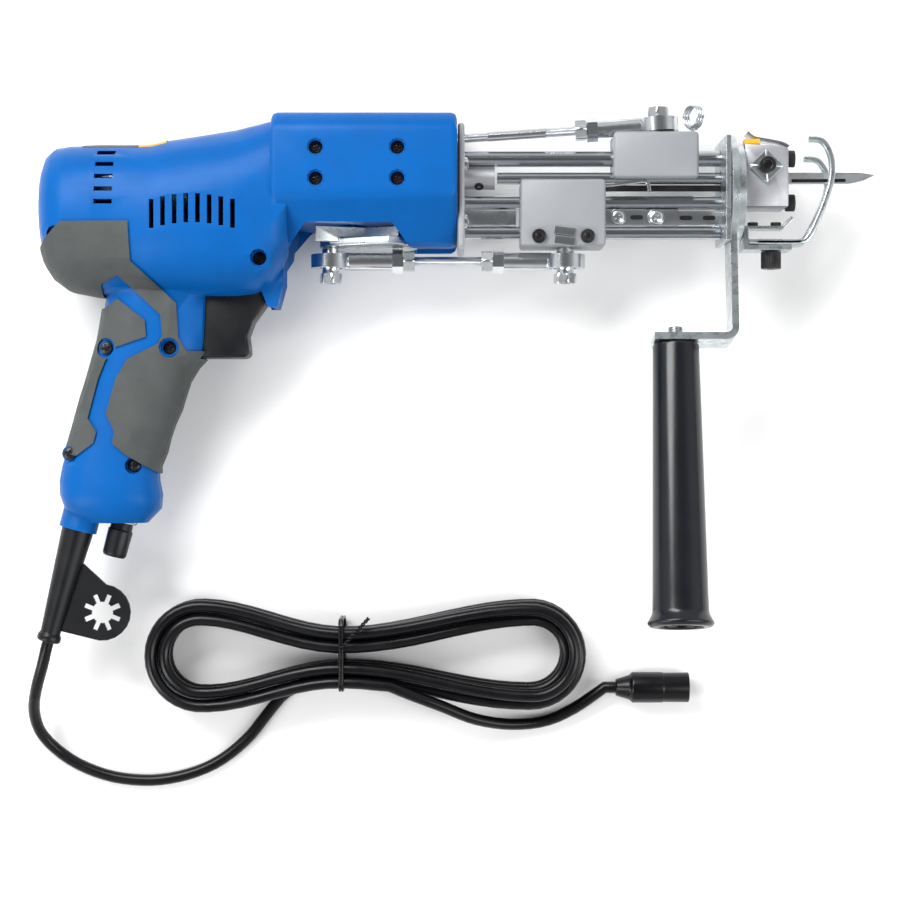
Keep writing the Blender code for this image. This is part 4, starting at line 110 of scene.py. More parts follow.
class EffectGroups:
    """Shader node groups that several finishes share, each built once."""

    CLOUD_DETAIL = 6
    CLOUD_ROUGHNESS = 0.6
    CLOUD_RANGE = (0.32, 0.68)
    GRAIN_DETAIL = 3
    STREAK_DETAIL = 2

    @staticmethod
    def _new(name: str, inputs: dict[str, tuple[str, object]],
             outputs: dict[str, str]) -> bpy.types.NodeTree:
        """An empty group with named sockets.

        Args:
            name: the group's name.
            inputs: socket name to its type and default value.
            outputs: socket name to its type.

        Returns:
            The group, with its Group Input and Group Output nodes in it.
        """
        group = bpy.data.node_groups.new(name, "ShaderNodeTree")
        for label, (kind, value) in inputs.items():
            socket = group.interface.new_socket(label, in_out="INPUT", socket_type=kind)
            if value is not None:
                socket.default_value = value
        for label, kind in outputs.items():
            group.interface.new_socket(label, in_out="OUTPUT", socket_type=kind)
        group.nodes.new("NodeGroupInput").name = "in"
        group.nodes.new("NodeGroupOutput").name = "out"
        return group

    @staticmethod
    def _feed(group: bpy.types.NodeTree, *textures: bpy.types.Node) -> None:
        """Join the group's Vector and Scale to its textures."""
        for texture in textures:
            for label in ("Vector", "Scale"):
                group.links.new(group.nodes["in"].outputs[label], texture.inputs[label])

    @classmethod
    def mottle(cls) -> bpy.types.NodeTree:
        """Slow cloudy variation of colour and roughness, as on handled plastic or plated metal.

        Returns:
            A group whose noise mixes Colour with Shade and moves Roughness by Spread.
        """
        if "mottle" in bpy.data.node_groups:
            return bpy.data.node_groups["mottle"]
        group = cls._new(
            "mottle",
            {"Vector": ("NodeSocketVector", None), "Scale": ("NodeSocketFloat", 60.0),
             "Colour": ("NodeSocketColor", (0.5, 0.5, 0.5, 1)),
             "Shade": ("NodeSocketColor", (0.4, 0.4, 0.4, 1)),
             "Roughness": ("NodeSocketFloat", 0.4), "Spread": ("NodeSocketFloat", 0.1)},
            {"Colour": "NodeSocketColor", "Roughness": "NodeSocketFloat"})
        nodes, links = group.nodes, group.links
        noise = nodes.new("ShaderNodeTexNoise")
        noise.inputs["Detail"].default_value = cls.CLOUD_DETAIL
        noise.inputs["Roughness"].default_value = cls.CLOUD_ROUGHNESS
        spread = nodes.new("ShaderNodeMapRange")
        spread.inputs["From Min"].default_value, spread.inputs["From Max"].default_value = cls.CLOUD_RANGE
        mix = nodes.new("ShaderNodeMix")
        mix.data_type = "RGBA"
        centred = nodes.new("ShaderNodeMath")
        centred.operation = "SUBTRACT"
        centred.inputs[1].default_value = 0.5
        rough = nodes.new("ShaderNodeMath")
        rough.operation = "MULTIPLY_ADD"
        cls._feed(group, noise)
        links.new(noise.outputs["Fac"], spread.inputs["Value"])
        links.new(spread.outputs["Result"], mix.inputs["Factor"])
        links.new(nodes["in"].outputs["Colour"], mix.inputs["A"])
        links.new(nodes["in"].outputs["Shade"], mix.inputs["B"])
        links.new(spread.outputs["Result"], centred.inputs[0])
        links.new(centred.outputs["Value"], rough.inputs[0])
        links.new(nodes["in"].outputs["Spread"], rough.inputs[1])
        links.new(nodes["in"].outputs["Roughness"], rough.inputs[2])
        links.new(mix.outputs["Result"], nodes["out"].inputs["Colour"])
        links.new(rough.outputs["Value"], nodes["out"].inputs["Roughness"])
        return group

    @classmethod
    def grain(cls) -> bpy.types.NodeTree:
        """Fine spark-eroded mould grain: small cells times softer noise.

        Returns:
            A group that puts out a Height from 0 to 1.
        """
        if "mould_grain" in bpy.data.node_groups:
            return bpy.data.node_groups["mould_grain"]
        group = cls._new("mould_grain",
                         {"Vector": ("NodeSocketVector", None), "Scale": ("NodeSocketFloat", 1500.0)},
                         {"Height": "NodeSocketFloat"})
        nodes, links = group.nodes, group.links
        cells = nodes.new("ShaderNodeTexVoronoi")
        cells.feature = "SMOOTH_F1"
        noise = nodes.new("ShaderNodeTexNoise")
        noise.inputs["Detail"].default_value = cls.GRAIN_DETAIL
        product = nodes.new("ShaderNodeMath")
        product.operation = "MULTIPLY"
        cls._feed(group, cells, noise)
        links.new(cells.outputs["Distance"], product.inputs[0])
        links.new(noise.outputs["Fac"], product.inputs[1])
        links.new(product.outputs["Value"], nodes["out"].inputs["Height"])
        return group

    @classmethod
    def streaks(cls) -> bpy.types.NodeTree:
        """Hairline drawing or grinding marks: noise, stretched along one axis by the mapping before it.

        Returns:
            A group that puts out a Height from 0 to 1.
        """
        if "streaks" in bpy.data.node_groups:
            return bpy.data.node_groups["streaks"]
        group = cls._new("streaks",
                         {"Vector": ("NodeSocketVector", None), "Scale": ("NodeSocketFloat", 900.0)},
                         {"Height": "NodeSocketFloat"})
        noise = group.nodes.new("ShaderNodeTexNoise")
        noise.inputs["Detail"].default_value = cls.STREAK_DETAIL
        cls._feed(group, noise)
        group.links.new(noise.outputs["Fac"], group.nodes["out"].inputs["Height"])
        return group


@dataclass(frozen=True)
class Finish:
    """A finish: two close colours, a roughness and its spread, and a fine relief in metres."""

    name: str
    slot: Slot
    colour: Colour
    shade: Colour
    roughness: float
    spread: float = 0.08
    cloud_scale: float = 70.0
    relief_scale: float = 1800.0
    relief: float = 0.02 * MM
    stretch: Point = (1.0, 1.0, 1.0)
    metallic: float = 0.0
    coat: float = 0.0
    coat_roughness: float = 0.2
    bump: float = 0.6

    def relief_group(self) -> bpy.types.NodeTree:
        """The group that gives the fine relief."""
        return EffectGroups.grain()

    def settle_shader(self, shader: bpy.types.Node) -> None:
        """Set the values that are the same all over the surface."""
        shader.inputs["Metallic"].default_value = self.metallic
        shader.inputs["Coat Weight"].default_value = self.coat
        shader.inputs["Coat Roughness"].default_value = self.coat_roughness

    def material(self) -> bpy.types.Material:
        """The node material, built once.

        Returns:
            A Principled material on Object coordinates, with cloudy colour and roughness and a bump.
        """
        if self.name in bpy.data.materials:
            return bpy.data.materials[self.name]
        material = bpy.data.materials.new(self.name)
        material.use_nodes = True
        material.diffuse_color = (*self.colour, 1)
        nodes, links = material.node_tree.nodes, material.node_tree.links
        shader = nodes["Principled BSDF"]
        self.settle_shader(shader)
        place = nodes.new("ShaderNodeTexCoord")
        mapping = nodes.new("ShaderNodeMapping")
        mapping.inputs["Scale"].default_value = self.stretch
        mottle = nodes.new("ShaderNodeGroup")
        mottle.node_tree = EffectGroups.mottle()
        mottle.inputs["Scale"].default_value = self.cloud_scale
        mottle.inputs["Colour"].default_value = (*self.colour, 1)
        mottle.inputs["Shade"].default_value = (*self.shade, 1)
        mottle.inputs["Roughness"].default_value = self.roughness
        mottle.inputs["Spread"].default_value = self.spread
        relief = nodes.new("ShaderNodeGroup")
        relief.node_tree = self.relief_group()
        relief.inputs["Scale"].default_value = self.relief_scale
        bump = nodes.new("ShaderNodeBump")
        bump.inputs["Strength"].default_value = self.bump
        bump.inputs["Distance"].default_value = self.relief
        links.new(place.outputs["Object"], mapping.inputs["Vector"])
        links.new(place.outputs["Object"], mottle.inputs["Vector"])
        links.new(mapping.outputs["Vector"], relief.inputs["Vector"])
        links.new(mottle.outputs["Colour"], shader.inputs["Base Color"])
        links.new(mottle.outputs["Roughness"], shader.inputs["Roughness"])
        links.new(relief.outputs["Height"], bump.inputs["Height"])
        links.new(bump.outputs["Normal"], shader.inputs["Normal"])
        return material


@dataclass(frozen=True)
class MouldedFinish(Finish):
    """Moulded plastic with a satin, lightly eroded surface."""

    specular: float = 0.5

    def settle_shader(self, shader: bpy.types.Node) -> None:
        """Set the values that are the same all over the surface."""
        super().settle_shader(shader)
        shader.inputs["Specular IOR Level"].default_value = self.specular


@dataclass(frozen=True)
class MetalFinish(Finish):
    """Bare, plated or blackened metal with drawing marks along one axis."""

    metallic: float = 1.0
    relief: float = 0.006 * MM
    relief_scale: float = 500.0

    def relief_group(self) -> bpy.types.NodeTree:
        """The group that gives the fine relief."""
        return EffectGroups.streaks()


class Palette:
    """Every finish on the machine, and the paper that it lies on."""

    BLUE = MouldedFinish(
        "blue_plastic_satin", Slot.BLUE, (0.0004, 0.096, 0.36), (0.0004, 0.086, 0.32), 0.4, 0.07,
        specular=0.13)
    PAD = MouldedFinish(
        "grey_rubber_matt", Slot.RUBBER, (0.064, 0.071, 0.070), (0.052, 0.058, 0.057), 0.7, 0.12,
        relief_scale=1200.0, relief=0.04 * MM, specular=0.35)
    BLACK = MouldedFinish(
        "black_plastic_satin", Slot.BLACK, (0.003, 0.0035, 0.005), (0.005, 0.0055, 0.007), 0.38,
        specular=0.3)
    HANDLE = MouldedFinish(
        "black_handle_gloss", Slot.BLACK, (0.004, 0.005, 0.008), (0.007, 0.008, 0.011), 0.24, 0.1,
        cloud_scale=25.0, relief=0.006 * MM, stretch=(1.0, 0.06, 1.0), coat=0.1, specular=0.35)
    CORD = MouldedFinish(
        "black_cord_sheath", Slot.CORD, (0.002, 0.002, 0.003), (0.003, 0.003, 0.004), 0.3, 0.1,
        relief=0.01 * MM, specular=0.28)
    NYLON = MouldedFinish(
        "white_nylon_milled", Slot.NYLON, (0.27, 0.283, 0.30), (0.25, 0.262, 0.28), 0.42, 0.08,
        relief=0.01 * MM)
    YELLOW = MouldedFinish(
        "yellow_plastic", Slot.BLACK, (0.92, 0.47, 0.012), (0.84, 0.41, 0.012), 0.45)
    DARK_BAND = MouldedFinish(
        "dark_band", Slot.BLACK, (0.10, 0.10, 0.105), (0.08, 0.08, 0.085), 0.5)
    # Painted shade: near-black marks that stand for the shadow in slots and in the needle's open channel
    PAINTED_SHADE = MouldedFinish(
        "painted_recess_shade", Slot.BLACK_STEEL, (0.006, 0.006, 0.007), (0.01, 0.01, 0.011), 0.7,
        specular=0.2)
    PAPER = MouldedFinish(
        "studio_floor", Slot.NYLON, (0.93, 0.93, 0.93), (0.925, 0.925, 0.925), 0.9, 0.02,
        cloud_scale=3.0, relief=0.0001 * MM, specular=0.1)
    ZINC = MetalFinish(
        "zinc_plated_steel", Slot.STEEL, (0.60, 0.645, 0.66), (0.44, 0.485, 0.50), 0.3, 0.16,
        cloud_scale=260.0, relief_scale=700.0, relief=0.03 * MM)
    BRIGHT = MetalFinish(
        "bright_plated_steel", Slot.STEEL, (0.64, 0.66, 0.68), (0.56, 0.58, 0.60), 0.2, 0.06,
        cloud_scale=120.0)
    ROD = MetalFinish(
        "ground_rod_steel", Slot.STEEL, (0.44, 0.46, 0.49), (0.37, 0.39, 0.42), 0.16, 0.06,
        cloud_scale=90.0, stretch=(0.03, 1.0, 1.0))
    ALLOY = MetalFinish(
        "blasted_alloy", Slot.ALLOY, (0.46, 0.465, 0.49), (0.40, 0.405, 0.43), 0.48, 0.08,
        cloud_scale=180.0, relief_scale=2400.0, relief=0.02 * MM, metallic=0.85)
    BLACK_STEEL = MetalFinish(
        "black_oxide_steel", Slot.BLACK_STEEL, (0.018, 0.018, 0.020), (0.035, 0.034, 0.034), 0.34, 0.14,
        cloud_scale=300.0, metallic=0.6)
    BLADE = MetalFinish(
        "ground_blade_steel", Slot.STEEL, (0.74, 0.76, 0.77), (0.62, 0.64, 0.65), 0.3, 0.1,
        cloud_scale=200.0, stretch=(0.08, 1.0, 1.0))
    COPPER = MetalFinish(
        "wound_copper", Slot.COPPER, (0.62, 0.30, 0.14), (0.5, 0.24, 0.11), 0.35)
    BRASS = MetalFinish(
        "turned_brass", Slot.BRASS, (0.72, 0.52, 0.22), (0.62, 0.44, 0.18), 0.3)


# Surfaces


@dataclass(frozen=True)
class Placement:
    """A point and a direction; local Z of a grid runs along the direction."""

    origin: Point
    axis: Point = (0.0, 0.0, 1.0)
    turn: float = 0.0

    def put(self, grid: np.ndarray) -> np.ndarray:
        """Carry a local grid to its place.

        Args:
            grid: points as (rows, columns, 3).

        Returns:
            The same grid turned so that local Z follows the axis, then moved to the origin.
        """
        lean = Vector((0, 0, 1)).rotation_difference(Vector(self.axis)).to_matrix()
        spin = lean @ Matrix.Rotation(self.turn, 3, "Z")
        return grid @ np.array(spin).T + np.array(self.origin)


def shown(name: str, data: bpy.types.ID) -> bpy.types.Object:
    """Make an object of a mesh, a curve, a light or a camera and put it in the scene.

    Args:
        name: the object's name.
        data: what it holds.

    Returns:
        The object.
    """
    thing = bpy.data.objects.new(name, data)
    bpy.context.scene.collection.objects.link(thing)
    return thing


class Surface:
    """Grids of points gathered into one mesh."""

    WELD = 0.001 * MM
    SLIVER = 0.0005 * MM

    def __init__(self) -> None:
        """Start without points."""
        self.points: list[np.ndarray] = []
        self.faces: list[np.ndarray] = []
        self.count = 0

    def add(self, grid: np.ndarray, around: bool = True) -> "Surface":
        """Add a grid of quads.

        Args:
            grid: points as (rows, columns, 3).
            around: join the last column to the first.

        Returns:
            This surface.
        """
        rows, columns = grid.shape[:2]
        index = np.arange(rows * columns).reshape(rows, columns) + self.count
        if around:
            index = np.concatenate([index, index[:, :1]], axis=1)
        quads = np.stack([index[:-1, :-1], index[:-1, 1:], index[1:, 1:], index[1:, :-1]], axis=-1)
        self.points.append(grid.reshape(-1, 3))
        self.faces.append(quads.reshape(-1, 4))
        self.count += rows * columns
        return self

    def build(self, name: str, finish: Finish, sharp: float = 38.0) -> bpy.types.Object:
        """Turn the gathered grids into an object.

        Args:
            name: the object's name.
            finish: what covers it.
            sharp: the angle in degrees over which an edge stays sharp.

        Returns:
            The object, at the origin, with its place in its mesh.
        """
        mesh = bpy.data.meshes.new(name)
        mesh.from_pydata(np.concatenate(self.points).tolist(), [], np.concatenate(self.faces).tolist())
        shape = bmesh.new()
        shape.from_mesh(mesh)
        bmesh.ops.remove_doubles(shape, verts=shape.verts, dist=self.WELD)
        bmesh.ops.dissolve_degenerate(shape, dist=self.SLIVER, edges=shape.edges)
        bmesh.ops.recalc_face_normals(shape, faces=shape.faces)
        shape.to_mesh(mesh)
        shape.free()
        mesh.shade_smooth()
        mesh.set_sharp_from_angle(angle=math.radians(sharp))
        mesh.materials.append(finish.material())
        return shown(name, mesh)


def turned(profile: Iterable[Point], sides: int, place: Placement,
           shape: np.ndarray | None = None) -> np.ndarray:
    """Turn a profile about an axis: a point is (r cos a, r sin a, z), with r and z from the profile.

    Args:
        profile: (distance along, radius) pairs, which start and end on the axis.
        sides: steps round the axis.
        place: where the axis starts and points.
        shape: a factor for each profile row and angle, for ribs and flats.

    Returns:
        The grid, one row per profile pair and one column per angle.
    """
    rows = np.asarray(list(profile), dtype=float)
    angle = np.linspace(0, TURN, sides, endpoint=False)
    radius = rows[:, 1:2] * (np.ones(sides) if shape is None else shape)
    along = np.repeat(rows[:, :1], sides, axis=1)
    return place.put(np.stack([radius * np.cos(angle), radius * np.sin(angle), along], axis=-1))


def softened(profile: Sequence[Point], rounding: float, steps: int = 4,
             most: float = 0.45) -> np.ndarray:
    """Round a profile's inner corners with quadratic curves.

    Args:
        profile: (distance along, radius) pairs.
        rounding: how far from a corner its curve starts.
        steps: points in each curve.
        most: the largest share of a side that a curve may take.

    Returns:
        The new pairs. A corner p between a and b becomes (1-t)^2 a' + 2t(1-t) p + t^2 b'.
    """
    corners = np.asarray(profile, dtype=float)
    share = np.linspace(0, 1, steps)[:, None]
    pieces = [corners[:1]]
    for before, corner, after in zip(corners, corners[1:], corners[2:]):
        back, on = before - corner, after - corner
        behind, ahead = float(np.linalg.norm(back)), float(np.linalg.norm(on))
        reach = min(rounding, most * behind, most * ahead)
        start = corner + back / max(behind, TINY) * reach
        end = corner + on / max(ahead, TINY) * reach
        pieces.append((1 - share) ** 2 * start + 2 * share * (1 - share) * corner + share ** 2 * end)
    pieces.append(corners[-1:])
    return np.concatenate(pieces)


def polygon_factor(sides: int, count: int) -> np.ndarray:
    """How far a regular polygon reaches at each angle, as a factor of its inscribed radius.

    The factor is 1 / cos of the angle from the middle of the nearest flat.

    Args:
        sides: flats of the polygon.
        count: how many angles.

    Returns:
        One factor for each angle.
    """
    angle = np.linspace(0, TURN, count, endpoint=False)
    sector = TURN / sides
    return 1 / np.cos(np.mod(angle, sector) - sector / 2)


def swept(path: np.ndarray, section: np.ndarray, lay: Lay = Lay.Z) -> np.ndarray:
    """Carry a flat section along a path: a point is p + s side + u up.

    Up is held near the lay's axis, side is the cross product of the path's direction and up, and both
    ends are drawn together to close them.

    Args:
        path: points as rows.
        section: (side, up) pairs as rows, in order round the section.
        lay: the axis that the section's up stays near.

    Returns:
        The grid, one row for each path point and one more at each end.
    """
    path = np.asarray(path, dtype=float)
    run = np.gradient(path, axis=0)
    run /= np.linalg.norm(run, axis=1)[:, None]
    up = np.array(lay.value) - run * (run @ np.array(lay.value))[:, None]
    up /= np.linalg.norm(up, axis=1)[:, None]
    side = np.cross(run, up)
    size = np.concatenate([[0], np.ones(len(path)), [0]])
    rows = np.concatenate([[0], np.arange(len(path)), [len(path) - 1]])
    across = side[rows][:, None] * section[None, :, :1] + up[rows][:, None] * section[None, :, 1:]
    return path[rows][:, None] + across * size[:, None, None]


def round_section(radius: float, sides: int = 12) -> np.ndarray:
    """A circle as (side, up) pairs."""
    angle = np.linspace(0, TURN, sides, endpoint=False)
    return radius * np.stack([np.cos(angle), np.sin(angle)], axis=1)


def bar_section(width: float, height: float, rounding: float) -> np.ndarray:
    """A rectangle with rounded corners: a quarter circle about each corner's own centre.

    Args:
        width: size along the section's side.
        height: size along the section's up.
        rounding: radius of the corners.

    Returns:
        (side, up) pairs.
    """
    angle = np.linspace(0, TURN / 4, 4)
    quarters = [angle + corner * TURN / 4 for corner in range(4)]
    signs = ((1, 1), (-1, 1), (-1, -1), (1, -1))
    centres = [np.array([sx * (width / 2 - rounding), sy * (height / 2 - rounding)]) for sx, sy in signs]
    return np.concatenate([centre + rounding * np.stack([np.cos(quarter), np.sin(quarter)], axis=1)
                           for centre, quarter in zip(centres, quarters)])


def smooth_path(route: Sequence[Point], step: float, span_steps: int = 40) -> np.ndarray:
    """Points every step along a Catmull-Rom curve through the route's own points.

    Args:
        route: the points that the curve passes through.
        step: distance between the points that come back.
        span_steps: points worked out in each span before they are spaced evenly.

    Returns:
        The points as rows; each span is the cubic of its two ends and their neighbours.
    """
    points = np.asarray(route, dtype=float)
    ends = np.concatenate([2 * points[:1] - points[1:2], points, 2 * points[-1:] - points[-2:-1]])
    share = np.linspace(0, 1, span_steps, endpoint=False)[None, :, None]
    before, start, end, after = (ends[i:len(ends) - 3 + i][:, None] for i in range(4))
    fine = 0.5 * (2 * start + (end - before) * share
                  + (2 * before - 5 * start + 4 * end - after) * share ** 2
                  + (3 * start - before - 3 * end + after) * share ** 3)
    fine = np.concatenate([fine.reshape(-1, 3), points[-1:]])
    travel = np.concatenate([[0], np.cumsum(np.linalg.norm(np.diff(fine, axis=0), axis=1))])
    stops = np.linspace(0, travel[-1], max(2, round(travel[-1] / step) + 1))
    return np.stack([np.interp(stops, travel, fine[:, i]) for i in range(3)], axis=1)


def stadium_factor(half_length: float, half_width: float, count: int) -> np.ndarray:
    """Radius of a stadium at each angle.

    It is w / |sin a| on the flats, and on the ends the far crossing with the end's circle, which is
    c |cos a| + sqrt(w^2 - c^2 sin^2 a), with w the half width and c the circle's own distance out.

    Args:
        half_length: from the middle to an end.
        half_width: from the middle to a flat.
        count: how many angles.

    Returns:
        One radius for each angle.
    """
    angle = np.linspace(0, TURN, count, endpoint=False)
    cos, sin = np.abs(np.cos(angle)), np.abs(np.sin(angle))
    centre = half_length - half_width
    flat = half_width / np.maximum(sin, TINY)
    end = centre * cos + np.sqrt(np.maximum(half_width ** 2 - (centre * sin) ** 2, 0))
    return np.where(flat * cos <= centre, flat, end)


def mm(*values: float) -> tuple[float, ...]:
    """Millimetres as metres."""
    return tuple(value * MM for value in values)


def along_x(xs: Sequence[float], y: float, z: float) -> np.ndarray:
    """Points at the given places on a straight line along X."""
    return np.array([(x, y, z) for x in xs])


def pillar(radius: float, low: float, high: float) -> list[tuple[float, float]]:
    """The profile of a plain round pillar from low to high."""
    return [(low, 0), (low, radius), (high, radius), (high, 0)]


# Standard fittings


@dataclass(frozen=True)
class SocketScrew:
    """A cap screw's head: knurled side, eased rim and a hexagonal socket."""

    radius: float
    head: float
    socket: float
    ribs: int = 30
    knurl: float = 0.035
    rim_share: float = 0.1
    # Down from the top and in from the side, as shares of the rim, along the eased edge
    edge_shares: Pairs = ((0.3, 0.35), (0.0, 1.1))
    mouth_share: float = 1.18
    mouth_drop: float = 0.4
    socket_share: float = 0.55
    drill_share: float = 1.15

    def add_to(self, surface: Surface, place: Placement) -> None:
        """Add the head to a surface.

        The radius is the profile's, times 1 - k |sin(ribs a / 2)| on the side and the hexagon's reach in
        the socket.

        Args:
            surface: what the head is added to.
            place: the head's seat and its outward direction.
        """
        count = self.ribs * 6
        angle = np.linspace(0, TURN, count, endpoint=False)
        knurl = 1 - self.knurl * np.abs(np.sin(self.ribs * angle / 2))
        plain, flats = np.ones(count), polygon_factor(6, count)
        radius, head, inner = self.radius, self.head, self.socket / 2
        rim, deep = self.rim_share * radius, self.socket_share * head
        rows = ((0, 0, plain), (0, radius - rim / 2, plain), (rim / 2, radius, knurl),
                (head - rim, radius, knurl),
                *((head - rim * down, radius - rim * inward, plain) for down, inward in self.edge_shares),
                (head, inner * self.mouth_share, plain), (head - rim * self.mouth_drop, inner, flats),
                (head - deep, inner, flats), (head - deep * self.drill_share, 0, plain))
        surface.add(turned([row[:2] for row in rows], count, place, np.stack([row[2] for row in rows])))


@dataclass(frozen=True)
class HexHead:
    """A hexagonal head or nut with a chamfered crown and a round recess or bore end."""

    across: float
    height: float
    recess: float = 0.0
    depth: float = 0.0
    chamfer_share: float = 0.06
    recess_draft: float = 0.96

    def add_to(self, surface: Surface, place: Placement) -> None:
        """Add the head to a surface: its radius is the hexagon's reach, cut to a circle on the crown.

        Args:
            surface: what the head is added to.
            place: the head's seat and its outward direction.
        """
        count = 72
        reach = self.across / 2 * polygon_factor(6, count)
        crown = np.minimum(reach, self.across / 2 * (1 + self.chamfer_share))
        plain = np.ones(count)
        ease = self.across * self.chamfer_share
        rows = [(0, plain * 0), (0, crown), (ease, reach), (self.height - ease, reach),
                (self.height, crown)]
        if self.recess:
            rows += [(self.height, plain * self.recess),
                     (self.height - self.depth, plain * self.recess * self.recess_draft)]
        rows.append((rows[-1][0], plain * 0))
        surface.add(turned([(along, 1.0) for along, _ in rows], count, place,
                           np.stack([row[1] for row in rows])))


@dataclass(frozen=True)
class PanScrew:
    """A domed cross-head screw; the cross is given in shares of the radius and the height."""

    radius: float
    height: float
    fall: float = 0.75
    arm_half: float = 0.15
    arm_reach: float = 0.62
    side_fade: float = 0.06
    end_fade: float = 0.08
    cross_depth: float = 0.5

    def add_to(self, surface: Surface, place: Placement) -> None:
        """Add the head to a surface.

        The height is h sqrt(1 - k s^2) of the radius share s, less a recess where the point lies on an
        arm of the cross.

        Args:
            surface: what the head is added to.
            place: the head's seat and its outward direction.
        """
        count = 96
        share = np.concatenate([[0], np.linspace(0.04, 1, 26)])[::-1][:, None]
        angle = np.linspace(0, TURN, count, endpoint=False)[None]
        x, y = share * np.cos(angle), share * np.sin(angle)
        arm = np.minimum(np.abs(x), np.abs(y))
        reach = np.maximum(np.abs(x), np.abs(y))
        cross = (np.clip((self.arm_half - arm) / self.side_fade, 0, 1)
                 * np.clip((self.arm_reach - reach) / self.end_fade, 0, 1))
        top = self.height * (np.sqrt(1 - self.fall * share ** 2) - cross * self.cross_depth)
        local = np.stack([x * self.radius, y * self.radius, top * np.ones_like(x)], axis=-1)
        skirt = local[:1].copy()
        skirt[..., 2] = 0
        local = np.concatenate([skirt * np.array([0, 0, 1]), skirt, local])
        surface.add(place.put(local))


@dataclass(frozen=True)
class Thread:
    """A rolled thread: the radius falls and rises once each pitch, and the fall turns with the angle."""

    radius: float
    pitch: float
    depth: float
    sides: int = 24
    rows_per_pitch: int = 8

    def grid(self, length: float, place: Placement,
             plain: tuple[float, float] | None = None) -> np.ndarray:
        """The thread's grid: r = radius - depth |2 frac(z / pitch - a / turn) - 1|.

        Args:
            length: along the axis.
            place: where the thread starts and points.
            plain: start and end of a stretch without thread, where the depth is none.

        Returns:
            The rows, closed at both ends.
        """
        along = np.linspace(0, length, int(length / self.pitch * self.rows_per_pitch))
        angle = np.linspace(0, TURN, self.sides, endpoint=False)
        phase = np.mod(along[:, None] / self.pitch - angle[None] / TURN, 1)
        depth = np.full(along.shape, self.depth)
        if plain:
            depth[(along > plain[0]) & (along < plain[1])] = 0
        radius = self.radius - depth[:, None] * np.abs(2 * phase - 1)
        rows = np.concatenate([[0], along, [length]])
        radius = np.pad(radius, ((1, 1), (0, 0)))
        return turned(np.stack([rows, np.ones_like(rows)], axis=1), self.sides, place, radius)


@dataclass(frozen=True)
class SlotShadeMark:
    """A thin dark stadium that shows a slot through a rail."""

    half_length: float = 3.2 * MM
    half_width: float = 1.1 * MM
    height: float = 0.15 * MM
    sides: int = 40

    def add_to(self, surface: Surface, place: Placement) -> None:
        """Add the mark to a surface: its radius is the stadium's.

        Args:
            surface: what the mark is added to.
            place: the middle of its foot and its outward direction.
        """
        factor = stadium_factor(self.half_length, self.half_width, self.sides)
        surface.add(turned(pillar(1, 0, self.height), self.sides, place, factor))


# Dressing the frame


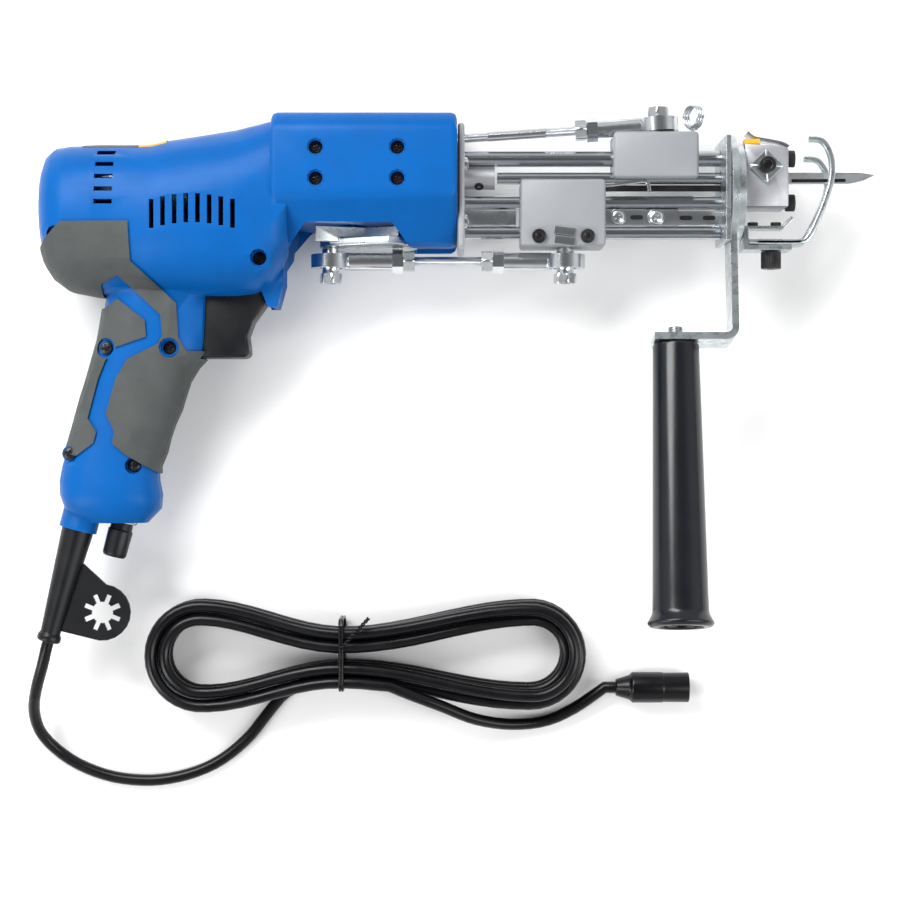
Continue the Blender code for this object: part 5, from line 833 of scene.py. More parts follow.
class Dresser:
    """Knows the packed frame, and gives its nodes and the new pieces their finish and their body."""

    WELD = 0.004 * MM
    FLAT_ANGLE = math.radians(0.6)
    RAYS = 12

    def __init__(self, frame: dict) -> None:
        """Note the body of each node.

        Args:
            frame: the packed frame, as it was loaded.
        """
        self.frame = frame
        self.body_of = {node: body for body, nodes in frame["record"]["behaviour"]["bodies"].items()
                        for node in nodes}

    def source(self, node: str) -> bpy.types.Object:
        """The CAD object of a node."""
        return self.frame["nodes"][node]

    def carry(self, finish: Finish, *nodes: str) -> None:
        """Give CAD nodes a finish as they are.

        Args:
            finish: what covers them.
            nodes: their names.
        """
        for node in nodes:
            mesh = self.source(node).data
            for index in range(max(1, len(mesh.materials))):
                if len(mesh.materials) <= index:
                    mesh.materials.append(finish.material())
                else:
                    mesh.materials[index] = finish.material()
            LOG.info("carried %s in %s", node, finish.name)

    def seat(self, piece: bpy.types.Object, finish: Finish, body: str, *nodes: str) -> bpy.types.Object:
        """Put a new piece on a body, and hide the nodes that it stands for.

        Args:
            piece: the new object.
            finish: what covers it.
            body: the body that it rides on.
            nodes: the CAD nodes that it replaces.

        Returns:
            The piece.
        """
        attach(piece, body)
        if nodes:
            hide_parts(*nodes)
        LOG.info("placed %s on %s", piece.name, body)
        return piece

    def place(self, surface: Surface, name: str, finish: Finish, body: str, *nodes: str,
              sharp: float = 38.0) -> bpy.types.Object:
        """Build a surface and seat it.

        Args:
            surface: the piece's grids.
            name: the piece's name.
            finish: what covers it.
            body: the body that it rides on.
            nodes: the CAD nodes that it replaces.
            sharp: the angle in degrees over which an edge stays sharp.

        Returns:
            The piece.
        """
        return self.seat(surface.build(name, finish, sharp), finish, body, *nodes)

    def soften(self, node: str, finish: Finish, rounding: float, sharp: float = 40.0,
               segments: int = 2) -> bpy.types.Object:
        """Replace a node by its own form with merged faces and eased edges.

        Args:
            node: the CAD node.
            finish: what covers it.
            rounding: width of the eased edges.
            sharp: the angle in degrees over which an edge is eased.
            segments: steps across an eased edge.

        Returns:
            The new piece.
        """
        mesh = self.source(node).data.copy()
        shape = bmesh.new()
        shape.from_mesh(mesh)
        bmesh.ops.remove_doubles(shape, verts=shape.verts, dist=self.WELD)
        bmesh.ops.dissolve_limit(shape, angle_limit=self.FLAT_ANGLE, verts=shape.verts,
                                 edges=shape.edges, delimit={"NORMAL"})
        shape.to_mesh(mesh)
        shape.free()
        mesh.shade_smooth()
        mesh.set_sharp_from_angle(angle=math.radians(sharp))
        mesh.materials.clear()
        mesh.materials.append(finish.material())
        piece = shown(node + "_finished", mesh)
        if rounding:
            bevel = piece.modifiers.new("eased edges", "BEVEL")
            bevel.width = rounding
            bevel.segments = segments
            bevel.limit_method = "ANGLE"
            bevel.angle_limit = math.radians(sharp)
            bevel.harden_normals = True
        return self.seat(piece, finish, self.body_of[node], node)

    def height_at(self, node: str, x: float, y: float, reach: float) -> float:
        """The lowest of the node's top surface on a small circle about a point, felt by rays from above.

        Args:
            node: the CAD node.
            x: the point's place.
            y: the point's place.
            reach: the circle's radius.

        Returns:
            The height in metres.
        """
        mesh = self.source(node).data
        tree = BVHTree.FromPolygons([tuple(v.co) for v in mesh.vertices],
                                    [tuple(p.vertices) for p in mesh.polygons])
        heights = []
        for angle in np.linspace(0, TURN, self.RAYS, endpoint=False):
            spot = Vector((x + reach * math.cos(angle), y + reach * math.sin(angle), 1.0))
            hit, *_ = tree.ray_cast(spot, Vector((0, 0, -1)))
            if hit is not None:
                heights.append(hit.z)
        return min(heights, default=2 * MID_Z)


# Sub-assemblies


@dataclass
class SubAssembly:
    """A group of pieces; its dresser gives them their finish and their body."""

    dress: Dresser


@dataclass
class Casing(SubAssembly):
    """Blue two-part shell with its screws and the bands on its top."""

    length: float = 207 * MM
    height: float = 200.75 * MM
    rear_x: float = -208 * MM
    top_y: float = 125.75 * MM
    sharp: float = 34.0

    # Along and down, as shares of the length and the height, of each screw's well
    well_shares: Pairs = (
        (0.669, 0.0898), (0.669, 0.1646), (0.860, 0.0898), (0.860, 0.1646), (0.053, 0.2968),
        (0.534, 0.354), (0.3155, 0.5686), (0.163, 0.5686), (0.0749, 0.828), (0.2295, 0.858))
    well_radius: float = 4.2 * MM
    rim_share: float = 1.25
    rim_drop: float = 0.6 * MM
    cup_play: float = 0.1 * MM
    cup_wall: float = 0.8 * MM
    cup_floor: float = 2 * MM
    cup_rounding: float = 0.25 * MM
    cup_sides: int = 32
    screw: PanScrew = PanScrew(3.1 * MM, 1.7 * MM)
    screw_drop: float = 5.5 * MM
    screw_twist: float = 900.0
    least_seat: float = 12.6 * MM

    barrel_length: float = 124 * MM
    barrel_height: float = 89.25 * MM
    barrel_half_width: float = 38 * MM
    # Along, top, bottom and width as shares, and squareness, of the motor barrel's stations
    stations: tuple[tuple[float, ...], ...] = (
        (0.065, 0.162, 0.888, 0.83, 2.4), (0.125, 0.151, 0.95, 0.9, 2.5), (0.23, 0.148, 0.978, 0.92, 2.6),
        (0.391, 0.148, 0.983, 0.92, 2.6), (0.456, 0.143, 0.989, 0.95, 2.6), (0.52, 0.12, 0.994, 1.0, 2.5),
        (0.653, 0.092, 1.0, 1.0, 2.5))

    # Name, finish, rear end and front end of each band
    bands: tuple[tuple[str, Finish, float, float], ...] = (
        ("top_band_dark", Palette.DARK_BAND, -186 * MM, -158 * MM),
        ("top_band_yellow", Palette.YELLOW, -158 * MM, -144.5 * MM))
    band_width: float = 30 * MM
    band_depth: float = 1.3 * MM
    band_rounding: float = 0.3 * MM
    band_rise: float = 0.35 * MM
    band_rows: int = 14
    band_steps: int = 6

    def screws(self) -> None:
        """Put a cup and a dark screw in each well on both sides."""
        bosses, heads = Surface(), Surface()
        radius, inner = self.well_radius - self.cup_play, self.well_radius - self.cup_wall
        for along, down in self.well_shares:
            x, y = self.rear_x + along * self.length, self.top_y - down * self.height
            rim = self.dress.height_at("casing_right", x, y, self.well_radius * self.rim_share)
            seat = max(rim - self.screw_drop, MID_Z + self.least_seat)
            low, high = seat - self.cup_floor, rim - self.rim_drop
            cup = softened([(0, 0), (0, radius), (high - low, radius), (high - low, inner),
                            (self.cup_floor, inner), (self.cup_floor, 0)], self.cup_rounding)
            for side in (1, -1):
                out = (0, 0, side)
                foot = (x, y, MID_Z + side * (low - MID_Z))
                bosses.add(turned(cup, self.cup_sides, Placement(foot, out)))
                head = (x, y, MID_Z + side * (seat - MID_Z))
                self.screw.add_to(heads, Placement(head, out, turn=x * self.screw_twist))
        self.dress.place(bosses, "screw_bosses", Palette.BLUE, "frame")
        self.dress.place(heads, "casing_screws", Palette.BLACK_STEEL, "frame")

    def top_line(self, x: np.ndarray, across: np.ndarray) -> np.ndarray:
        """Height of the barrel's top: centre + h (1 - |across / w|^n)^(1/n), from its stations.

        Args:
            x: places along the barrel.
            across: distances from the middle plane.

        Returns:
            Y for each pair.
        """
        table = np.array(self.stations)
        share = (x - self.rear_x) / self.barrel_length
        top, bottom, width, power = (np.interp(share, table[:, 0], column) for column in table.T[1:])
        high, low = self.top_y - top * self.barrel_height, self.top_y - bottom * self.barrel_height
        round_off = np.clip(1 - np.abs(across / (width * self.barrel_half_width)) ** power, 0, 1)
        return (high + low) / 2 + (high - low) / 2 * round_off ** (1 / power)

    def band(self, name: str, finish: Finish, start_x: float, end_x: float) -> None:
        """A thin raised band that follows the barrel's top, with its section split finely across.

        Args:
            name: the piece's name.
            finish: what covers it.
            start_x: its rear end.
            end_x: its front end.
        """
        section = bar_section(self.band_width, self.band_depth, self.band_rounding)
        fine = np.concatenate([np.linspace(start, end, self.band_steps, endpoint=False)
                               for start, end in zip(section, np.roll(section, -1, axis=0))])
        x, across = np.meshgrid(np.linspace(start_x, end_x, self.band_rows), fine[:, 0], indexing="ij")
        rise = fine[None, :, 1] + self.band_rise - self.band_depth / 2
        grid = np.stack([x, self.top_line(x, across) + rise, MID_Z + across], axis=-1)
        middle = grid.mean(axis=1, keepdims=True).repeat(grid.shape[1], axis=1)
        closed = np.concatenate([middle[:1], grid, middle[-1:]])
        self.dress.place(Surface().add(closed), name, finish, "frame")

    def build(self) -> None:
        """Dress the shell and build its fittings."""
        for node in ("casing_right", "casing_left"):
            self.dress.soften(node, Palette.BLUE, 0, sharp=self.sharp)
        self.screws()
        for band in self.bands:
            self.band(*band)


@dataclass
class GripPads(SubAssembly):
    """Rubber pads over the grip and the motor end."""

    rounding: float = 0.45 * MM
    sharp: float = 35.0

    def build(self) -> None:
        """Build the four pads from their solids, with eased rims."""
        for node in ("finger_pad_right", "finger_pad_left", "palm_pad_right", "palm_pad_left"):
            self.dress.soften(node, Palette.PAD, self.rounding, sharp=self.sharp, segments=3)


@dataclass
class Controls(SubAssembly):
    """Trigger, switch, speed knob and its nut."""

    trigger_rounding: float = 0.4 * MM
    knob_top: Point = (-168 * MM, -74.5 * MM, MID_Z)
    knob_radius: float = 6.2 * MM
    knob_length: float = 18 * MM
    knob_gap: float = 0.3 * MM
    knob_rounding: float = 0.5 * MM
    neck_share: float = 0.88
    # Along and out, as shares of the knob's length and radius
    knob_shares: Pairs = ((0.22, 0.9), (0.25, 1.0), (0.93, 0.97), (1.0, 0.84))
    ribs: int = 28
    rib_depth: float = 0.035
    rib_start: float = 0.3
    rib_end: float = 0.9
    rib_fade: float = 0.04
    nut: HexHead = HexHead(13.6 * MM, 1.45 * MM)
    nut_drop: float = 1.2 * MM

    def knob(self) -> None:
        """The knob: its radius is the profile's, less a share |sin(ribs a / 2)| on the ribbed stretch."""
        radius, length = self.knob_radius, self.knob_length
        profile = softened([(self.knob_gap, 0), (self.knob_gap, radius * self.neck_share),
                            *((length * along, radius * out) for along, out in self.knob_shares),
                            (length, 0)], self.knob_rounding)
        count = self.ribs * 6
        angle = np.linspace(0, TURN, count, endpoint=False)
        share = profile[:, :1] / length
        ribbed = (np.clip((share - self.rib_start) / self.rib_fade, 0, 1)
                  * np.clip((self.rib_end - share) / self.rib_fade, 0, 1))
        factor = 1 - self.rib_depth * ribbed * np.abs(np.sin(self.ribs * angle / 2))[None]
        grid = turned(profile, count, Placement(self.knob_top, GRIP_AXIS), factor)
        self.dress.place(Surface().add(grid), "speed_knob_ribbed", Palette.BLACK, "speed_knob",
                         "speed_knob")
        seat = tuple(np.array(self.knob_top) - self.nut_drop * np.array(GRIP_AXIS))
        nut = Surface()
        self.nut.add_to(nut, Placement(seat, GRIP_AXIS))
        self.dress.place(nut, "speed_control_nut", Palette.BRIGHT, "frame")

    def build(self) -> None:
        """Dress and build the controls."""
        self.dress.soften("trigger", Palette.BLACK, self.trigger_rounding, sharp=30.0, segments=3)
        self.dress.carry(Palette.BLACK, "switch_module")
        self.dress.carry(Palette.ZINC, "speed_control")
        self.knob()


@dataclass
class DriveTrain(SubAssembly):
    """Motor, gears and crankshaft inside the casing, and the lower crank that shows under it."""

    crank_rounding: float = 0.5 * MM

    def build(self) -> None:
        """Dress the drive."""
        self.dress.carry(Palette.ALLOY, "gearbox_housing")
        self.dress.carry(Palette.BRIGHT, "lower_bearing", "upper_bearing", "crankshaft")
        self.dress.carry(Palette.ZINC, "motor_can")
        self.dress.carry(Palette.BLACK, "motor_end_cap", "cooling_fan")
        self.dress.carry(Palette.COPPER, "motor_rotor")
        self.dress.carry(Palette.BRASS, "motor_pinion")
        self.dress.carry(Palette.BLACK_STEEL, "crown_wheel")
        self.dress.soften("lower_crank", Palette.ZINC, self.crank_rounding)


@dataclass
class FrontFrame(SubAssembly):
    """Flange, guide rods, end plate, ring and the rails between them."""

    flange_rounding: float = 0.4 * MM
    plate_rounding: float = 0.5 * MM
    flange_face_x: float = 2.6 * MM
    flange_screw: PanScrew = PanScrew(3.4 * MM, 2.2 * MM)
    # Y and Z of each flange screw, in millimetres
    flange_screw_places: Pairs = (
        (101.5, 58.5), (101.5, 17.5), (73.5, 58.5), (73.5, 17.5))

    bush_x: float = 10 * MM
    bush_y: float = 97 * MM
    bush_seat: float = 5.2 * MM
    bush_lean: float = math.radians(52)
    bush_screw: SocketScrew = SocketScrew(2.3 * MM, 0.9 * MM, 1.9 * MM)

    rail_z: float = 37.2 * MM
    rail_bar: tuple[float, float, float] = mm(7, 1.6, 0.4)
    front_rail_xs: tuple[float, ...] = mm(93.4, 100, 110, 120, 130.4)
    front_slot_xs: tuple[float, ...] = mm(113.5, 125)
    slot_z: float = 37.95 * MM
    rear_rail_xs: tuple[float, ...] = mm(2.8, 12, 28.5)
    rear_nut: HexHead = HexHead(6.4 * MM, 2.4 * MM, 1.5 * MM, 1.2 * MM)
    rear_nut_place: Point = (21.6 * MM, RAIL_Y, MID_Z)

    def fixings(self) -> None:
        """Cross-head screws on the flange's face, each turned its own way, and the bush's set screw."""
        heads = Surface()
        for y, z in self.flange_screw_places:
            place = Placement((self.flange_face_x, y * MM, z * MM), (1, 0, 0), turn=y)
            self.flange_screw.add_to(heads, place)
        self.dress.place(heads, "flange_screws", Palette.BRIGHT, "frame")
        out = (0, -math.sin(self.bush_lean), math.cos(self.bush_lean))
        seat = (self.bush_x, self.bush_y + self.bush_seat * out[1], MID_Z + self.bush_seat * out[2])
        set_screw = Surface()
        self.bush_screw.add_to(set_screw, Placement(seat, out))
        self.dress.place(set_screw, "bush_set_screw", Palette.BLACK_STEEL, "frame")

    def rails(self) -> None:
        """The slotted rail behind the end plate, and the short one with a nut in front of the flange."""
        section = bar_section(*self.rail_bar)
        front = Surface().add(swept(along_x(self.front_rail_xs, RAIL_Y, self.rail_z), section))
        self.dress.place(front, "cutter_rail", Palette.BRIGHT, "frame")
        # Painted shade: dark marks on the rail's top stand for the shadow in its slots
        slot_shades = Surface()
        for x in self.front_slot_xs:
            SlotShadeMark().add_to(slot_shades, Placement((x, RAIL_Y, self.slot_z)))
        self.dress.place(slot_shades, "cutter_rail_slot_shades", Palette.PAINTED_SHADE, "frame")
        rear = Surface().add(swept(along_x(self.rear_rail_xs, RAIL_Y, self.rail_z), section))
        self.rear_nut.add_to(rear, Placement(self.rear_nut_place))
        self.dress.place(rear, "rear_rail", Palette.BRIGHT, "frame")

    def build(self) -> None:
        """Dress the frame and build its fittings."""
        self.dress.soften("front_flange", Palette.ALLOY, self.flange_rounding)
        self.dress.carry(Palette.ROD, "upper_guide_rod", "middle_guide_rod", "lower_guide_rod")
        for node in ("end_plate", "retaining_ring", "handle_bracket"):
            self.dress.soften(node, Palette.ZINC, self.plate_rounding, segments=3)
        self.fixings()
        self.rails()


@dataclass
class FrontGrip(SubAssembly):
    """The tilted auxiliary handle and its bolt."""

    x: float = 107 * MM
    axis_y: float = 90.5 * MM
    drop: float = 78 * MM
    tilt: float = math.radians(10)
    gap: float = 0.3 * MM
    length: float = 140 * MM
    top_radius: float = 11.5 * MM
    foot_radius: float = 13.8 * MM
    foot_taper: float = 0.25 * MM
    lip_radius: float = 16.5 * MM
    lip: float = 4 * MM
    # Along and in from the lip's radius, and along to the foot and to its taper, as shares of the lip
    lip_shares: Pairs = ((0, 0.4), (0.5, 0), (1, 0.3))
    foot_share: float = 1.7
    taper_share: float = 4.0
    rounding: float = 1.6 * MM
    bore_radius: float = 10.5 * MM
    bore_depth: float = 78 * MM
    bore_end_share: float = 0.8
    mouth_depth: float = 1.2 * MM
    mouth_flare: float = 0.8 * MM
    bolt: Thread = Thread(3.9 * MM, 1.25 * MM, 0.6 * MM)
    bolt_depth: float = 12 * MM
    bolt_stand: float = 4.5 * MM
    plate: float = 3.5 * MM

    def tilted(self, y: float) -> Placement:
        """A placement on the handle's axis that points up it.

        Args:
            y: the place before the tilt.

        Returns:
            The placement after the turn about the barrel's axis.
        """
        reach = y - self.axis_y
        origin = (self.x, self.axis_y + reach * math.cos(self.tilt), MID_Z - reach * math.sin(self.tilt))
        return Placement(origin, (0, math.cos(self.tilt), -math.sin(self.tilt)))

    def build(self) -> None:
        """Build the handle, turned from its bore over its lip to its top, and the threaded bolt."""
        top_y = self.axis_y - self.drop - self.gap
        lip = self.lip
        rows = [(self.bore_depth, 0), (self.bore_depth, self.bore_radius * self.bore_end_share),
                (self.mouth_depth, self.bore_radius), (0, self.bore_radius + self.mouth_flare),
                *((lip * along, self.lip_radius - lip * inward) for along, inward in self.lip_shares),
                (lip * self.foot_share, self.foot_radius),
                (lip * self.taper_share, self.foot_radius - self.foot_taper),
                (self.length, self.top_radius), (self.length, 0)]
        profile = softened(rows, self.rounding, 6)
        handle = Surface().add(turned(profile, 64, self.tilted(top_y - self.length)))
        self.dress.place(handle, "front_handle_turned", Palette.HANDLE, "frame", "front_handle", sharp=50)
        reach = self.bolt_depth + self.plate + self.bolt_stand + self.gap
        bolt = Surface().add(self.bolt.grid(reach, self.tilted(top_y - self.bolt_depth)))
        self.dress.place(bolt, "handle_bolt_threaded", Palette.BRIGHT, "frame", "handle_bolt", sharp=60)


@dataclass
class Nose(SubAssembly):
    """Clamp block with its screws, diamond washer, leaf and pad."""

    rounding: float = 0.5 * MM
    front_x: float = 162.85 * MM
    half_width: float = 13 * MM
    gap: float = 0.3 * MM
    screw: SocketScrew = SocketScrew(4.25 * MM, 4.6 * MM, 4.2 * MM)
    # Node and Y in millimetres of the two front screws
    front_screws: tuple[tuple[str, float], ...] = (
        ("nose_screw_upper", 106.75), ("nose_screw_lower", 84.75))
    shank_radius: float = 2.4 * MM
    shank_depth: float = 10 * MM
    shank_rise: float = 0.5 * MM

    clamp_x: float = 151.57 * MM
    clamp_y: float = 101.5 * MM
    washer_half: float = 6.2 * MM
    washer_height: float = 2.2 * MM
    washer_corner: float = 1.36
    # Rise in millimetres and share of the half width of the washer's foot, and the same down from its top
    washer_foot: tuple[float, float] = (0.25, 0.96)
    washer_crown: tuple[float, float] = (0.4, 0.93)

    # X and Y in millimetres along the leaf, and its thickness, width and rounding
    leaf_route: Pairs = (
        (143.2, 119.2), (146.6, 116.6), (153.0, 115.4), (159.6, 114.1), (162.6, 112.9), (163.7, 111.9))
    leaf_z: float = 40.0
    leaf_bar: tuple[float, float, float] = mm(1.1, 13, 0.35)
    pad_xs: tuple[float, ...] = mm(141.6, 143, 147.6, 149)
    pad_y: float = 114.1 * MM
    pad_z: float = 44 * MM
    pad_bar: tuple[float, float, float] = mm(2.6, 9, 0.5)

    def screws(self) -> None:
        """The two front screws, each with its shank."""
        shank = pillar(self.shank_radius, -self.shank_depth, self.shank_rise)
        for name, y in self.front_screws:
            screw = Surface()
            place = Placement((self.front_x + self.gap, y * MM, MID_Z), (1, 0, 0), turn=y)
            self.screw.add_to(screw, place)
            screw.add(turned(shank, 24, place))
            self.dress.place(screw, name + "_knurled", Palette.BLACK_STEEL, "frame", name)

    def clamp(self) -> None:
        """The clamp screw on its diamond washer: a square section with blunt corners and eased edges."""
        x, y, base = self.clamp_x, self.clamp_y, MID_Z + self.half_width + self.gap
        half, height = self.washer_half, self.washer_height
        foot, crown = self.washer_foot, self.washer_crown
        rows = [(0, 0), (0, half * foot[1]), (foot[0] * MM, half), (height - crown[0] * MM, half),
                (height, half * crown[1]), (height, 0)]
        count = 96
        diamond = np.minimum(polygon_factor(4, count), self.washer_corner)
        washer = Surface().add(turned(rows, count, Placement((x, y, base)), diamond))
        screw = Surface()
        self.screw.add_to(screw, Placement((x, y, base + height)))
        self.dress.place(screw, "needle_clamp_screw_knurled", Palette.BLACK_STEEL, "frame",
                         "needle_clamp_screw")
        self.dress.place(washer, "diamond_washer", Palette.ZINC, "frame")

    def leaf(self) -> None:
        """The bent leaf over the block's top edge and the yellow pad under it."""
        path = smooth_path([mm(x, y, self.leaf_z) for x, y in self.leaf_route], 0.7 * MM)
        leaf = Surface().add(swept(path, bar_section(*self.leaf_bar)))
        self.dress.place(leaf, "leaf_clip", Palette.BRIGHT, "frame")
        path = along_x(self.pad_xs, self.pad_y, self.pad_z)
        pad = Surface().add(swept(path, bar_section(*self.pad_bar)))
        self.dress.place(pad, "yellow_pad", Palette.YELLOW, "frame")

    def build(self) -> None:
        """Dress the block and build its fittings."""
        self.dress.soften("nose_block", Palette.ALLOY, self.rounding, segments=3)
        self.screws()
        self.clamp()
        self.leaf()


@dataclass
class PresserFoot(SubAssembly):
    """Forked foot, its bracket and its screws."""

    bracket_rounding: float = 0.35 * MM
    screw_place: Point = (155.94 * MM, 60.2 * MM, MID_Z)
    screw: SocketScrew = SocketScrew(5 * MM, 8.5 * MM, 4.2 * MM, ribs=34)
    shank_radius: float = 2.4 * MM
    shank_depth: float = 5.3 * MM
    shank_rise: float = 0.5 * MM
    guard_screw: SocketScrew = SocketScrew(2.6 * MM, 2.4 * MM, 2.0 * MM)
    guard_screw_xs: tuple[float, ...] = mm(146.5, 158)
    guard_screw_y: float = 72.3 * MM
    guard_screw_z: float = 40.5 * MM

    plate: float = 2.5 * MM
    plate_behind: float = 12 * MM
    plate_clearance: float = 0.6 * MM
    plate_reach_share: float = 0.62
    plate_rounding: float = 0.7 * MM
    half_width: float = 9.5 * MM
    prong_width: float = 4.5 * MM
    prong_thickness: float = 3 * MM
    prong_rounding: float = 0.9 * MM
    prong_step: float = 1.2 * MM
    reach: float = 41 * MM
    rise: float = 51 * MM
    far_drop: float = 8 * MM
    # Centre line of a prong as shares of its reach and rise
    prong_shares: Pairs = (
        (0.1, 0.0), (0.6, 0.0), (0.72, 0.05), (0.82, 0.2), (0.93, 0.42), (1.0, 0.62), (1.0, 0.8),
        (0.94, 0.93), (0.86, 0.99), (0.72, 1.0))

    def fork(self) -> None:
        """The plate and its two bent prongs: a rounded bar swept along each centre line."""
        low_x = self.screw_place[0] - self.plate_behind
        middle_y = self.screw_place[1] + self.plate + self.plate_clearance + self.plate / 2
        path = along_x(low_x + np.linspace(0, self.plate_reach_share * self.reach, 6), middle_y, MID_Z)
        plate = bar_section(self.plate, 2 * self.half_width, self.plate_rounding)
        fork = Surface().add(swept(path, plate))
        prong = bar_section(self.prong_thickness, self.prong_width, self.prong_rounding)
        for side, drop in ((1, 0), (-1, self.far_drop)):
            z = MID_Z + side * (self.half_width - self.prong_width / 2)
            route = [(low_x + along * self.reach, middle_y + up * (self.rise - drop), z)
                     for along, up in self.prong_shares]
            fork.add(swept(smooth_path(route, self.prong_step), prong))
        self.dress.place(fork, "presser_foot_bent", Palette.ZINC, "frame", "presser_foot", sharp=50)

    def screws(self) -> None:
        """The foot's large screw with its shank, and the two small ones on the guard."""
        large = Surface()
        place = Placement(self.screw_place, (0, -1, 0))
        self.screw.add_to(large, place)
        large.add(turned(pillar(self.shank_radius, -self.shank_depth, self.shank_rise), 24, place))
        self.dress.place(large, "foot_screw_knurled", Palette.BLACK_STEEL, "frame", "foot_screw")
        small = Surface()
        for x in self.guard_screw_xs:
            place = Placement((x, self.guard_screw_y, self.guard_screw_z), (0, 1, 0))
            self.guard_screw.add_to(small, place)
        self.dress.place(small, "guard_screws", Palette.BLACK_STEEL, "frame")

    def build(self) -> None:
        """Dress the foot and build its screws."""
        self.dress.soften("foot_bracket", Palette.ZINC, self.bracket_rounding)
        self.fork()
        self.screws()


@dataclass
class NeedleCarriage(SubAssembly):
    """The upper carriage with its bar, its needle and the wound yarn loop."""

    rounding: float = 0.6 * MM
    needle_rounding: float = 0.15 * MM
    # X in millimetres and the climb's share along the needle's channel
    channel_route: Pairs = ((166, 0), (178, 0), (188, 0.5), (193, 1))
    channel_y: float = 95.7
    channel_climb: float = 0.2
    channel_z: float = 39.58
    channel_bar: tuple[float, float, float] = mm(1.6, 0.16, 0.06)

    loop_x: float = 117.2 * MM
    loop_y: float = 127.65 * MM
    loop_radius: float = 5.6 * MM
    loop_pitch: float = 1.7 * MM
    loop_turns: int = 3
    loop_lean: float = math.radians(38)
    wire: float = 0.66 * MM
    stem_ys: tuple[float, float] = mm(119.05, 120.5)
    foot_y: float = 118.75 * MM
    # Along and out in millimetres of the stem's foot
    foot_rows: Pairs = ((0, 0), (0, 1.9), (0.8, 1.9), (1.6, 1.0), (1.6, 0))
    foot_rounding: float = 0.2 * MM

    def yarn_loop(self) -> None:
        """The wire coil on its stem: (pitch a / turn, -r cos a, r sin a), turned about Y by its lean."""
        angle = np.linspace(0, self.loop_turns * TURN, self.loop_turns * 40 + 1)
        along = self.loop_pitch * (angle / TURN - self.loop_turns / 2)
        out = self.loop_radius * np.sin(angle)
        lean_cos, lean_sin = math.cos(self.loop_lean), math.sin(self.loop_lean)
        coil = np.stack([self.loop_x + along * lean_cos + out * lean_sin,
                         self.loop_y - self.loop_radius * np.cos(angle),
                         MID_Z - along * lean_sin + out * lean_cos], axis=1)
        stem = np.array([(self.loop_x, y, MID_Z) for y in self.stem_ys])
        wire = Surface().add(swept(np.concatenate([stem, coil]), round_section(self.wire), Lay.X))
        profile = softened([mm(*row) for row in self.foot_rows], self.foot_rounding)
        wire.add(turned(profile, 24, Placement((self.loop_x, self.foot_y, MID_Z), (0, 1, 0))))
        self.dress.place(wire, "yarn_loop_wound", Palette.BRIGHT, "needle_drive", "yarn_loop", sharp=70)

    def channel(self) -> None:
        """The dark line of the needle's open channel on its side."""
        path = np.array([mm(x, self.channel_y + self.channel_climb * share, self.channel_z)
                         for x, share in self.channel_route])
        line = Surface().add(swept(path, bar_section(*self.channel_bar)))
        self.dress.place(line, "needle_channel_shade", Palette.PAINTED_SHADE, "needle_drive")

    def build(self) -> None:
        """Dress the carriage and build what it carries."""
        self.dress.soften("needle_carriage", Palette.NYLON, self.rounding, segments=3)
        self.dress.carry(Palette.ROD, "needle_bar")
        self.dress.soften("needle", Palette.BLADE, self.needle_rounding)
        self.channel()
        self.yarn_loop()


